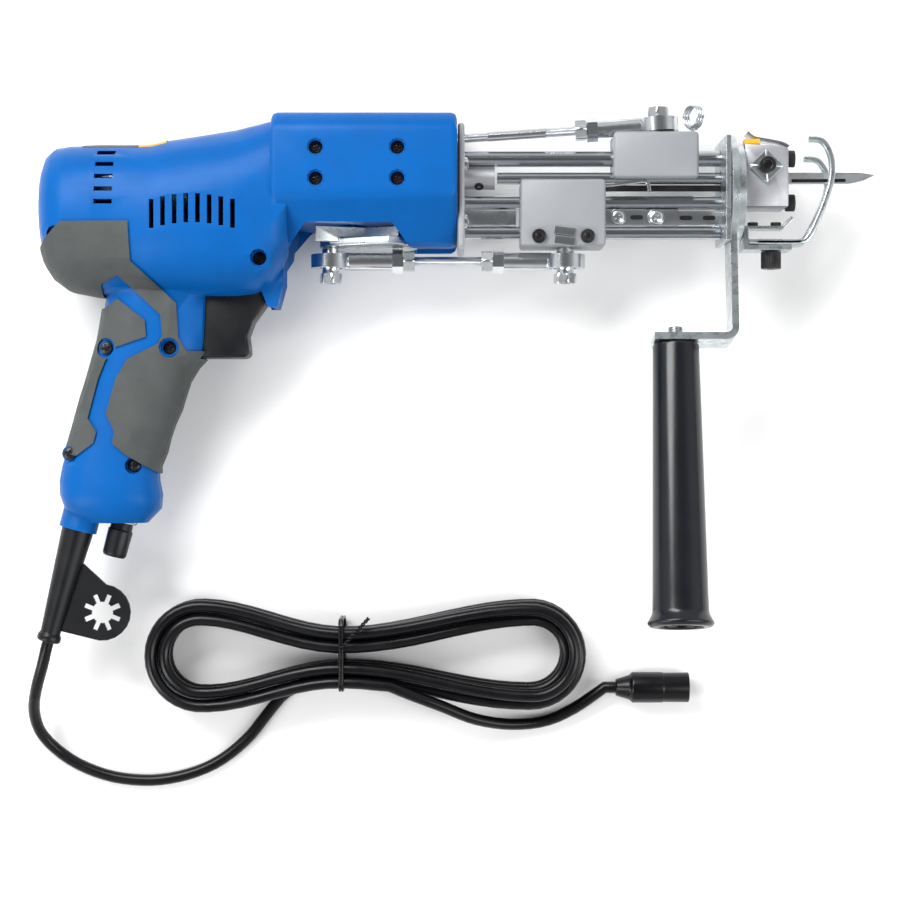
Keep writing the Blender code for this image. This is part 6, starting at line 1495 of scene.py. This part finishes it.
@dataclass
class CutterCarriage(SubAssembly):
    """The lower carriage with its blade, screws, anchor, lever and slotted plate."""

    rounding: float = 0.6 * MM
    blade_rounding: float = 0.12 * MM
    screw: SocketScrew = SocketScrew(3.6 * MM, 2.6 * MM, 2.9 * MM)
    screw_places: tuple[Point, ...] = (mm(39.5, 67, 51.9), mm(63.5, 67, 51.9))
    screw_axis: Point = (0, -0.12, 1)

    # Y, width and height in millimetres of the anchor's two tabs, and the X of their stations
    anchor_tabs: tuple[tuple[float, float, float], ...] = ((69.4, 4.2, 52.6), (64.6, 4.4, 53.0))
    anchor_xs: tuple[float, ...] = (47.2, 50.0, 54.0, 57.0)
    anchor_middle: float = 52.0
    anchor_slant: float = 0.13
    anchor_bar: tuple[float, float] = mm(1.9, 0.4)

    # X and Y in millimetres along the lever
    lever_route: Pairs = (
        (71.0, 92.6), (76.0, 92.9), (86.0, 94.0), (91.6, 94.7), (93.6, 93.6), (94.6, 89.2))
    lever_z: float = 46.5
    lever_bar: tuple[float, float, float] = mm(2, 1.9, 0.7)

    plate_xs: tuple[float, ...] = mm(71.8, 80, 90, 100, 109.6)
    plate_z: float = 39.6 * MM
    plate_bar: tuple[float, float, float] = mm(8, 1.8, 0.45)
    # X in millimetres of the plate's screws, and the heights of their collars and heads
    plate_screw_xs: tuple[float, float] = (79.0, 98.2)
    collar_z: float = 40.4
    collar_height: float = 0.7 * MM
    collar_radius: float = 4.1 * MM
    collar_rounding: float = 0.2 * MM
    head_z: float = 41.1
    head: PanScrew = PanScrew(3.3 * MM, 1.5 * MM)
    slot_place: Point = (88.6 * MM, RAIL_Y, 40.45 * MM)

    def anchor(self) -> None:
        """The two tabs that hold the link's bolt: flat bars at a slant."""
        anchor = Surface()
        for y, width, z in self.anchor_tabs:
            path = np.array([mm(x, y - (x - self.anchor_middle) * self.anchor_slant, z)
                             for x in self.anchor_xs])
            anchor.add(swept(path, bar_section(width * MM, *self.anchor_bar)))
        self.dress.place(anchor, "link_anchor", Palette.BRIGHT, "cutter_drive")

    def lever(self) -> None:
        """The yarn lever: a thin bent bar."""
        path = smooth_path([mm(x, y, self.lever_z) for x, y in self.lever_route], 0.6 * MM)
        lever = Surface().add(swept(path, bar_section(*self.lever_bar)))
        self.dress.place(lever, "yarn_lever", Palette.BRIGHT, "cutter_drive")

    def plate(self) -> None:
        """The slotted plate with its two screws on their collars."""
        path = along_x(self.plate_xs, RAIL_Y, self.plate_z)
        plate = Surface().add(swept(path, bar_section(*self.plate_bar)))
        collar = softened(pillar(self.collar_radius, 0, self.collar_height), self.collar_rounding)
        for x in self.plate_screw_xs:
            plate.add(turned(collar, 40, Placement((x * MM, RAIL_Y, self.collar_z * MM))))
            self.head.add_to(plate, Placement((x * MM, RAIL_Y, self.head_z * MM), turn=x))
        self.dress.place(plate, "cutter_plate", Palette.BRIGHT, "cutter_drive")
        # Painted shade: a dark mark stands for the shadow in the plate's slot
        slot = Surface()
        SlotShadeMark().add_to(slot, Placement(self.slot_place))
        self.dress.place(slot, "cutter_plate_slot_shade", Palette.PAINTED_SHADE, "cutter_drive")

    def build(self) -> None:
        """Dress the carriage and build its fittings."""
        self.dress.soften("cutter_carriage", Palette.NYLON, self.rounding, segments=3)
        self.dress.soften("cutter_blade", Palette.BLACK_STEEL, self.blade_rounding)
        screws = Surface()
        for place in self.screw_places:
            self.screw.add_to(screws, Placement(place, self.screw_axis))
        self.dress.place(screws, "carriage_screws", Palette.BLACK_STEEL, "cutter_drive")
        self.anchor()
        self.lever()
        self.plate()


@dataclass
class Link(SubAssembly):
    """An adjustable link: two rod ends on a threaded stud, with lock nuts and pressed races."""

    name: str
    rear: Point
    length: float
    slope: float = 0.0
    # Start and end, as shares of the stud, of a stretch without thread
    plain: tuple[float, float] | None = None
    reach: float = 36 * MM
    grip: float = 12 * MM
    rounding: float = 0.55 * MM
    thread: Thread = Thread(2.5 * MM, 0.9 * MM, 0.35 * MM)
    nut: HexHead = HexHead(9.6 * MM, 5.5 * MM)
    nut_gap: float = 0.3 * MM
    race_offset: float = 3.3 * MM
    race_radius: float = 7.3 * MM
    race_width: float = 1.1 * MM
    race_rise: float = 0.28 * MM

    def along(self, distance: float) -> tuple[float, float, float]:
        """A point on the link's axis."""
        return (self.rear[0] + distance * math.cos(self.slope),
                self.rear[1] + distance * math.sin(self.slope), self.rear[2])

    def stud(self) -> None:
        """The threaded stud with a lock nut against each rod end."""
        axis = (math.cos(self.slope), math.sin(self.slope), 0)
        start = self.reach - self.grip
        length = self.length - 2 * start
        plain = (length * self.plain[0], length * self.plain[1]) if self.plain else None
        stud = Surface().add(self.thread.grid(length, Placement(self.along(start), axis), plain))
        rear_nut = self.reach + self.nut_gap
        for distance in (rear_nut, self.length - rear_nut - self.nut.height):
            self.nut.add_to(stud, Placement(self.along(distance), axis))
        self.dress.place(stud, self.name + "_stud_threaded", Palette.BRIGHT, self.name,
                         self.name + "_stud", sharp=45)

    def races(self) -> None:
        """The pressed race that shows as a raised ring on both faces of each eye: a flat oval turned."""
        angle = np.linspace(0, TURN, 9)
        ring = np.stack([self.race_rise * np.sin(angle),
                         self.race_radius + self.race_width * np.cos(angle)], axis=1)
        for end, distance in (("rear", 0.0), ("front", self.length)):
            x, y, z = self.along(distance)
            race = Surface()
            for side in (1, -1):
                race.add(turned(ring, 48, Placement((x, y + side * self.race_offset, z), (0, side, 0))))
            self.dress.place(race, f"{self.name}_{end}_race", Palette.BRIGHT, self.name)

    def build(self) -> None:
        """Dress the rod ends and build the stud and the races."""
        for end in ("_rear_eye", "_front_eye"):
            self.dress.soften(self.name + end, Palette.BRIGHT, self.rounding, segments=3)
        self.stud()
        self.races()


@dataclass
class BallBolt(SubAssembly):
    """A ball on a bolt with a hexagonal head."""

    node: str
    body: str
    place: Point
    stem: float
    head: float
    side: int
    depth: float = 0.0
    shank_radius: float = 3 * MM
    ball_radius: float = 5.5 * MM
    ball_angle: float = 0.66
    collar_radius: float = 4.4 * MM
    collar: float = 0.9 * MM
    ease: float = 0.05 * MM
    head_across: float = 10 * MM
    head_sunk: float = 0.2 * MM
    head_turn: float = 0.3
    recess_radius: float = 2.5 * MM
    recess_depth: float = 2.4 * MM
    recess_most: float = 0.6

    def build(self) -> None:
        """Build the bolt: a collar, the ball as an arc of its circle, and the head."""
        stem, shank, out = self.stem, self.shank_radius, self.collar_radius
        inner, foot = stem - self.collar, -stem - self.depth
        angle = np.linspace(-self.ball_angle, self.ball_angle, 13)
        ball = self.ball_radius * np.stack([np.sin(angle), np.cos(angle)], axis=1)
        rows = [(foot, 0), (foot, shank), (-stem, shank), (-stem + self.ease, out), (-inner, out),
                *ball.tolist(), (inner, out), (stem, out), (stem, 0)]
        bolt = Surface().add(turned(rows, 40, Placement(self.place, (0, self.side, 0))))
        x, y, z = self.place
        seat = (x, y + self.side * (stem - self.head_sunk), z)
        recess = min(self.recess_depth, self.head * self.recess_most)
        head = HexHead(self.head_across, self.head, self.recess_radius, recess)
        head.add_to(bolt, Placement(seat, (0, self.side, 0), turn=self.head_turn))
        self.dress.place(bolt, self.node + "_turned", Palette.BRIGHT, self.body, self.node)


@dataclass
class Linkage(SubAssembly):
    """Both links with the ball bolts at their ends; a rear bolt rides on its link."""

    upper_front: Point = (99.6834 * MM, 123.55 * MM, MID_Z)
    upper_length: float = 144 * MM
    upper_slope: float = math.radians(3.8)
    upper_plain: tuple[float, float] = (0.36, 0.66)
    upper_stem: float = 4.5 * MM
    upper_shank: float = 6 * MM
    upper_head: float = 4.5 * MM
    upper_rear_head: float = 3.2 * MM
    lower_rear: Point = (-64 * MM, 55.5 * MM, MID_Z)
    lower_length: float = 117 * MM
    lower_stem: float = 6.25 * MM
    lower_shank: float = 3 * MM
    lower_head: float = 5 * MM

    def build(self) -> None:
        """Build the links and their four bolts."""
        x, y, z = self.upper_front
        upper_rear = (x - self.upper_length * math.cos(self.upper_slope),
                      y - self.upper_length * math.sin(self.upper_slope), z)
        lower_front = (self.lower_rear[0] + self.lower_length, *self.lower_rear[1:])
        for part in (
                Link(self.dress, "needle_link", upper_rear, self.upper_length, self.upper_slope,
                     self.upper_plain),
                Link(self.dress, "cutter_link", self.lower_rear, self.lower_length),
                BallBolt(self.dress, "needle_link_front_bolt", "needle_drive", self.upper_front,
                         self.upper_stem, head=self.upper_head, side=1, depth=self.upper_shank),
                BallBolt(self.dress, "needle_link_rear_bolt", "needle_link", upper_rear,
                         self.upper_stem, head=self.upper_rear_head, side=1),
                BallBolt(self.dress, "cutter_link_front_bolt", "cutter_drive", lower_front,
                         self.lower_stem, head=self.lower_head, side=-1, depth=self.lower_shank),
                BallBolt(self.dress, "cutter_link_rear_bolt", "cutter_link", self.lower_rear,
                         self.lower_stem, head=self.lower_head, side=-1)):
            part.build()


@dataclass
class Cord(SubAssembly):
    """The supply cord from the gland through its tied hank to the connector."""

    radius: float = 3 * MM
    exit: Point = (-188.5 * MM, -70.75 * MM, MID_Z)
    gland_root: float = 10 * MM
    gland_length: float = 66 * MM
    gland_radius: float = 8 * MM
    gland_tip: float = 5 * MM
    gland_straight: float = 0.12
    # Shares of the gland's length and of its tip's radius, from the taper's end over the bead
    gland_bead: Pairs = ((0.93, 1.0), (0.95, 1.18), (0.985, 1.2), (1.0, 1.05))
    gland_rounding: float = 1.2 * MM
    gland_overlap: float = 2 * MM
    holder_rounding: float = 0.4 * MM

    # The hank's box, strands and layers
    left_x: float = -158 * MM
    right_x: float = 64 * MM
    waist_x: float = -59.5 * MM
    hank_y: float = -142.5 * MM
    lobe: float = 27 * MM
    waist: float = 13.8 * MM
    strand_pitch: float = 7 * MM
    layer_pitch: float = 6.6 * MM
    layers: int = 4
    turns_per_layer: float = 1.5
    start_x: float = -74 * MM
    past_tie: float = 0.055
    entry_bow: float = 0.6 * MM
    entry_points: int = 24
    loop_points: int = 72
    bend_points: int = 60
    # Points in the runs from the start to the right, along the top, and back to the start
    run_points: tuple[int, int, int] = (80, 120, 50)
    bend_weight: float = 0.55
    climb_share: float = 0.11
    step: float = 4.8 * MM

    tie_lift: float = 2.1 * MM
    hump: float = 22 * MM
    tie_clearance: float = 1.25 * MM
    tie_spread: float = 0.7 * MM
    tie_wire: float = 0.62 * MM
    twist_offset: float = 4 * MM
    twist_reach: Point = mm(14, 15, 0.6)
    twist_lift: float = 0.7 * MM
    twist_bow: float = 1.2 * MM
    twist_turns: int = 5
    twist_radius: float = 0.55 * MM
    twist_across: Point = (-0.73, 0.68, 0.0)
    twist_wire: float = 0.5 * MM

    # Points in millimetres of the free stretches to and from the hank
    lead_route: tuple[tuple[float, ...], ...] = (
        (-208.5, -146.0, 36.0), (-213.0, -159.0, 29.0), (-216.0, -171.0, 19.0), (-214.5, -183.0, 10.0),
        (-207.0, -193.0, 4.5), (-194.5, -201.5, 3.0), (-177.0, -207.5, 3.0), (-157.0, -209.0, 3.0),
        (-138.0, -205.5, 3.0), (-122.5, -198.5, 3.0), (-108.5, -187.0, 3.0), (-98.5, -174.5, 3.0),
        (-90.0, -164.6, 3.0))
    tail_route: tuple[tuple[float, ...], ...] = (
        (-24.0, -163.0, 22.8), (-9.0, -168.8, 20.5), (8.0, -176.0, 15.0),
        (26.0, -179.6, 7.5), (44.0, -178.4, 4.4), (59.0, -171.8, 5.6))

    plug: Point = (80 * MM, -160.6 * MM, 8 * MM)
    plug_length: float = 38 * MM
    plug_overlap: float = 1 * MM
    plug_gap: float = 0.5 * MM
    # Along and out, in millimetres, from the connector's collar over its sleeve
    plug_rows: Pairs = (
        (0.5, 4.2), (7.6, 6.4), (8.93, 7.9), (24.32, 7.8), (25.08, 7.5))
    plug_end_radius: float = 7.65 * MM
    plug_rounding: float = 0.7 * MM
    mouth_radius: float = 5.6 * MM
    mouth_end_radius: float = 5.5 * MM
    mouth_depth: float = 13 * MM
    pin_radius: float = 1.2 * MM
    pin_length: float = 10.5 * MM
    pin_rounding: float = 0.5 * MM

    def stretch(self, start: np.ndarray, start_way: np.ndarray, route: Sequence[Point], end: np.ndarray,
                end_way: np.ndarray) -> np.ndarray:
        """A free stretch through hand-picked points, straight for one diameter at both ends.

        Args:
            start: where it starts.
            start_way: its direction there.
            route: points in millimetres.
            end: where it ends.
            end_way: its direction there.

        Returns:
            Points as rows, none lower than the cord's radius.
        """
        diameter = 2 * self.radius
        inner = np.concatenate([[start + diameter * start_way], np.array(route) * MM,
                                [end - diameter * end_way]])
        points = np.concatenate([[start], smooth_path(inner, self.step), [end]])
        points[:, 2] = np.maximum(points[:, 2], self.radius)
        return points

    def outline(self) -> np.ndarray:
        """One loop's outer line: two half circles, joined by runs that draw in to the waist.

        A run's half height is the waist's, plus (1 - cos(pi s)) / 2 of what the lobe has more, with s the
        share of the way from the waist.

        Returns:
            Points as rows of x and y about the hank's middle.
        """
        left, right = self.left_x + self.lobe, self.right_x - self.lobe

        def run(start: float, stop: float, count: int, side: int) -> np.ndarray:
            """One long side.

            Args:
                start: x where it starts.
                stop: x where it stops.
                count: how many points.
                side: 1 for the top side and -1 for the bottom one.

            Returns:
                Points as rows.
            """
            x = np.linspace(start, stop, count, endpoint=False)
            reach = np.where(x < self.waist_x, self.waist_x - left, right - self.waist_x)
            share = np.minimum(1, np.abs(x - self.waist_x) / reach)
            half = self.waist + (self.lobe - self.waist) * (1 - np.cos(math.pi * share)) / 2
            return np.stack([x, side * half], axis=1)

        def bend(centre: float, start: float, stop: float) -> np.ndarray:
            """One half circle."""
            angle = np.linspace(start, stop, self.bend_points, endpoint=False)
            return np.stack([centre + self.lobe * np.cos(angle), self.lobe * np.sin(angle)], axis=1)

        quarter = TURN / 4
        first, top, last = self.run_points
        return np.concatenate([run(self.start_x, right, first, -1), bend(right, -quarter, quarter),
                               run(right, left, top, 1), bend(left, quarter, 3 * quarter),
                               run(left, self.start_x, last, -1)])

    def hank(self) -> np.ndarray:
        """The wound cord: its offset inwards grows and shrinks by turns, and it climbs along the runs.

        The point of turn t lies on the outer line where the weight of length and bend reaches t's
        fraction, moved inwards by its offset, and lifted by its level and by the hump at the tie.

        Returns:
            Points as rows.
        """
        line = self.outline()
        run = np.roll(line, -1, axis=0) - np.roll(line, 1, axis=0)
        size = np.linalg.norm(run, axis=1)
        inward = np.stack([-run[:, 1], run[:, 0]], axis=1) / size[:, None]
        step = np.linalg.norm(np.roll(line, -1, axis=0) - line, axis=1)
        turning = np.abs(np.sum(np.roll(run, -1, axis=0) * inward, axis=1)) / size
        weight = step * (1 - self.bend_weight) + turning * self.lobe * self.bend_weight
        weight = np.concatenate([[0], np.cumsum(weight)])
        loops = self.layers * self.turns_per_layer + self.past_tie
        turn = np.linspace(0, loops, round(loops * self.loop_points) + 1)
        row = np.interp(np.mod(turn, 1), weight / weight[-1], np.arange(len(line) + 1))
        low = row.astype(int) % len(line)
        high = (low + 1) % len(line)
        mix = (row - row.astype(int))[:, None]
        place = line[low] * (1 - mix) + line[high] * mix
        side = inward[low] * (1 - mix) + inward[high] * mix
        layer = turn / self.turns_per_layer
        row_of_layer = np.minimum(self.layers - 1, layer.astype(int))
        spiral = layer - row_of_layer
        offset = self.strand_pitch * self.turns_per_layer * np.where(row_of_layer % 2, 1 - spiral, spiral)
        offset -= self.entry_bow * np.maximum(0, 1 - self.entry_points * turn)
        nearest = np.round(layer)
        climb = (layer - nearest) * self.turns_per_layer / self.climb_share
        level = np.clip(nearest - 0.5 + np.clip(climb / 2, -0.5, 0.5), 0, self.layers - 1)
        lift = self.tie_lift * np.exp(-((place[:, 0] - self.waist_x) / self.hump) ** 2)
        spot = place + side * offset[:, None]
        return np.stack([spot[:, 0], self.hank_y + spot[:, 1],
                         self.radius + lift + level * self.layer_pitch], axis=1)

    def centre_line(self) -> np.ndarray:
        """The whole cord's line from inside the gland to inside the connector.

        Returns:
            Points as rows.
        """
        hank = self.hank()
        entry, leaving = hank[1] - hank[0], hank[-1] - hank[-2]
        out = np.array(GRIP_AXIS)
        start = np.array(self.exit) + (self.gland_length - self.gland_overlap) * out
        end = np.array(self.plug) + [self.plug_overlap, 0, 0]
        lead = self.stretch(start, out, self.lead_route, hank[0], entry / np.linalg.norm(entry))
        tail = self.stretch(hank[-1], leaving / np.linalg.norm(leaving), self.tail_route, end,
                            np.array([1.0, 0, 0]))
        return np.concatenate([lead[:-1], hank, tail[1:]])

    def gland(self) -> None:
        """The gland: a tapered bend relief with a bead at its tip, turned from the profile's shares."""
        length, radius, tip = self.gland_length, self.gland_radius, self.gland_tip
        profile = softened([(-self.gland_root, 0), (-self.gland_root, radius),
                            (length * self.gland_straight, radius),
                            *((length * along, tip * out) for along, out in self.gland_bead),
                            (length, 0)], self.gland_rounding, 5)
        gland = Surface().add(turned(profile, 48, Placement(self.exit, GRIP_AXIS)))
        self.dress.place(gland, "cord_gland_moulded", Palette.BLACK, "frame", "cord_gland")

    def connector(self) -> list[bpy.types.Object]:
        """The connector, turned over its collar, its sleeve and its open mouth, and the pin in the mouth.

        Returns:
            The connector and its pin.
        """
        end = self.plug_length
        mouth = end - self.mouth_depth
        rows = [(self.plug_gap, 0), *(mm(*row) for row in self.plug_rows), (end, self.plug_end_radius),
                (end, self.mouth_radius), (mouth, self.mouth_end_radius), (mouth, 0)]
        place = Placement(self.plug, (1, 0, 0))
        plug = Surface().add(turned(softened(rows, self.plug_rounding), 48, place))
        rows = softened(pillar(self.pin_radius, 0, self.pin_length), self.pin_rounding)
        place = Placement((self.plug[0] + mouth, *self.plug[1:]), (1, 0, 0))
        pin = Surface().add(turned(rows, 24, place))
        return [self.dress.place(plug, "cord_connector_moulded", Palette.CORD, "frame", "cord_connector"),
                self.dress.place(pin, "connector_pin", Palette.BRASS, "frame")]

    def tie(self) -> bpy.types.Object:
        """The wire tie: a double band round the waist, and its two ends twisted together and bent aside.

        A band's point is its corner's centre plus the wrap's radius at its angle. A twisted strand's is
        the leaning axis plus a circle that turns along it.

        Returns:
            The tie.
        """
        wrap = self.radius + self.tie_clearance
        low = self.radius + self.tie_lift
        high = low + (self.layers - 1) * self.layer_pitch
        angle = np.linspace(0, TURN, 49)
        right, top = np.sign(np.cos(angle + TINY)), np.sin(angle + TINY) > 0
        y = self.hank_y + right * self.waist + wrap * np.cos(angle)
        z = np.where(top, high, low) + wrap * np.sin(angle)
        tie = Surface()
        for side in (-1, 1):
            band = np.stack([np.full_like(y, self.waist_x + side * self.tie_spread), y, z], axis=1)
            tie.add(swept(band, round_section(self.tie_wire, 8), Lay.X))
        along = np.linspace(0, 1, 90)
        start = np.array([self.waist_x, self.hank_y + self.twist_offset, high + wrap])
        axis = start + along[:, None] * self.twist_reach
        axis[:, 2] += self.twist_lift + self.twist_bow * np.sin(along * math.pi)
        for phase in (0.0, math.pi):
            turns = (along * TURN * self.twist_turns + phase)[:, None]
            ring = np.cos(turns) * self.twist_across + np.sin(turns) * [0, 0, 1]
            strand = axis + self.twist_radius * ring
            tie.add(swept(strand, round_section(self.twist_wire, 8)))
        return self.dress.place(tie, "cord_tie_wire", Palette.CORD, "frame", "cord_tie", sharp=60)

    def curve(self, line: np.ndarray) -> bpy.types.Object:
        """Make the cord itself: a round curve of one spline.

        Args:
            line: its centre line's points as rows.

        Returns:
            The curve's object.
        """
        curve = bpy.data.curves.new("supply_cord", "CURVE")
        curve.dimensions = "3D"
        curve.bevel_depth = self.radius
        curve.bevel_resolution = 5
        curve.use_fill_caps = True
        spline = curve.splines.new("POLY")
        spline.points.add(len(line) - 1)
        spline.points.foreach_set("co", np.pad(line, ((0, 0), (0, 1)), constant_values=1).ravel())
        spline.use_smooth = True
        curve.materials.append(Palette.CORD.material())
        return shown("supply_cord", curve)

    def build(self) -> None:
        self.gland()
        self.dress.soften("key_holder", Palette.BLACK, self.holder_rounding, segments=3)
        connector, contact = self.connector()
        line = self.centre_line()
        cord = self.dress.seat(
            self.curve(line), Palette.CORD, "frame", "cord_lead", "cord_hank", "cord_tail")
        tie = self.tie()


@dataclass(frozen=True)
class Lamp:
    """A soft rectangular lamp: where it hangs, its two sides, and its power in watts."""

    name: str
    place: Point
    size: tuple[float, float]
    power: float

    def hang(self, aim: Point) -> None:
        """Put the lamp in the scene.

        Args:
            aim: the point that it faces.
        """
        light = bpy.data.lights.new(self.name, "AREA")
        light.shape = "RECTANGLE"
        light.size, light.size_y = self.size
        light.energy = self.power
        lamp = shown(self.name, light)
        lamp.location = self.place
        lamp.rotation_euler = (Vector(aim) - Vector(self.place)).to_track_quat("-Z", "Y").to_euler()


@dataclass
class Studio:
    """Pale floor, soft lamps, white surroundings and the camera above the machine."""

    centre: Point = (-4.5 * MM, -38.75 * MM, MID_Z)
    camera_height: float = 1.1
    lens: float = 88.0
    sensor: float = 36.0
    floor_half: float = 0.6
    floor_z: float = -0.05 * MM
    soft_level: float = 0.6
    # Position up the sky and the grey that glossy rays meet there
    tent: tuple[tuple[float, Colour], ...] = (
        (0.0, (0.5, 0.5, 0.5)), (0.25, (0.85, 0.85, 0.85)), (0.6, (0.8, 0.8, 0.8)),
        (0.78, (0.34, 0.34, 0.34)), (0.93, (0.17, 0.17, 0.17)), (1.0, (0.15, 0.155, 0.16)))
    lamps: tuple[Lamp, ...] = (
        Lamp("key_lamp", (-0.45, 0.62, 0.85), (0.8, 0.45), 14.0),
        Lamp("fill_lamp", (0.85, -0.35, 1.0), (0.35, 1.1), 8.0),
        Lamp("edge_lamp", (-0.8, -0.5, 0.7), (0.3, 0.9), 6.0))

    def floor(self) -> None:
        """A plain floor: its points lie on a flat grid just under the machine."""
        steps = np.linspace(-self.floor_half, self.floor_half, 33)
        x, y = np.meshgrid(steps, steps, indexing="ij")
        floor = Surface().add(np.stack([x, y, np.full_like(x, self.floor_z)], axis=-1), around=False)
        floor.build("studio_floor", Palette.PAPER)

    def surroundings(self) -> None:
        """White where the camera looks past the floor, and a plain soft level that lights the machine.

        Glossy and transmitted rays meet a light tent instead: bright above the horizon, dark overhead.
        """
        world = bpy.data.worlds.new("studio")
        bpy.context.scene.world = world
        world.use_nodes = True
        nodes, links = world.node_tree.nodes, world.node_tree.links
        nodes.clear()
        out = nodes.new("ShaderNodeOutputWorld")
        soft, seen = nodes.new("ShaderNodeBackground"), nodes.new("ShaderNodeBackground")
        soft.inputs["Strength"].default_value = self.soft_level
        place, parts = nodes.new("ShaderNodeTexCoord"), nodes.new("ShaderNodeSeparateXYZ")
        ramp = nodes.new("ShaderNodeValToRGB")
        stops = ramp.color_ramp.elements
        for stop, (_, colour) in zip(stops, (self.tent[0], self.tent[-1])):
            stop.color = (*colour, 1)
        for position, colour in self.tent[1:-1]:
            stops.new(position).color = (*colour, 1)
        rays = nodes.new("ShaderNodeLightPath")
        white_or_tent = nodes.new("ShaderNodeMix")
        white_or_tent.data_type = "RGBA"
        white_or_tent.inputs["B"].default_value = (1, 1, 1, 1)
        links.new(place.outputs["Generated"], parts.inputs["Vector"])
        links.new(parts.outputs["Z"], ramp.inputs["Fac"])
        links.new(rays.outputs["Is Camera Ray"], white_or_tent.inputs["Factor"])
        links.new(ramp.outputs["Color"], white_or_tent.inputs["A"])
        links.new(white_or_tent.outputs["Result"], seen.inputs["Color"])
        shown = rays.outputs["Is Camera Ray"]
        for kind in ("Is Glossy Ray", "Is Transmission Ray"):
            either = nodes.new("ShaderNodeMath")
            either.operation = "MAXIMUM"
            links.new(shown, either.inputs[0])
            links.new(rays.outputs[kind], either.inputs[1])
            shown = either.outputs["Value"]
        mix = nodes.new("ShaderNodeMixShader")
        links.new(shown, mix.inputs["Fac"])
        links.new(soft.outputs["Background"], mix.inputs[1])
        links.new(seen.outputs["Background"], mix.inputs[2])
        links.new(mix.outputs["Shader"], out.inputs["Surface"])

    def camera(self) -> None:
        """The camera straight above the machine, with the top of the picture towards +Y."""
        data = bpy.data.cameras.new("camera")
        data.lens = self.lens
        data.sensor_width = self.sensor
        camera = shown("camera", data)
        camera.location = (*self.centre[:2], self.centre[2] + self.camera_height)
        bpy.context.scene.camera = camera

    def build(self) -> None:
        """Build the whole studio."""
        self.camera()
        self.floor()
        self.surroundings()
        for lamp in self.lamps:
            lamp.hang(self.centre)
        bpy.context.scene.view_settings.view_transform = "Standard"


def main() -> None:
    """Load the frame, dress it piece by piece and write both boxes."""
    logging.basicConfig(level=logging.INFO, format="%(name)s: %(message)s")
    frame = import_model()
    dresser = Dresser(frame)
    Studio().build()
    for part in (Cord, Casing, GripPads, Controls, DriveTrain, FrontFrame, FrontGrip, Nose, PresserFoot,
                 NeedleCarriage, CutterCarriage, Linkage):
        LOG.info("%s: %s", part.__name__, part.__doc__)
        part(dresser).build()


if __name__ == "__main__":
    main()
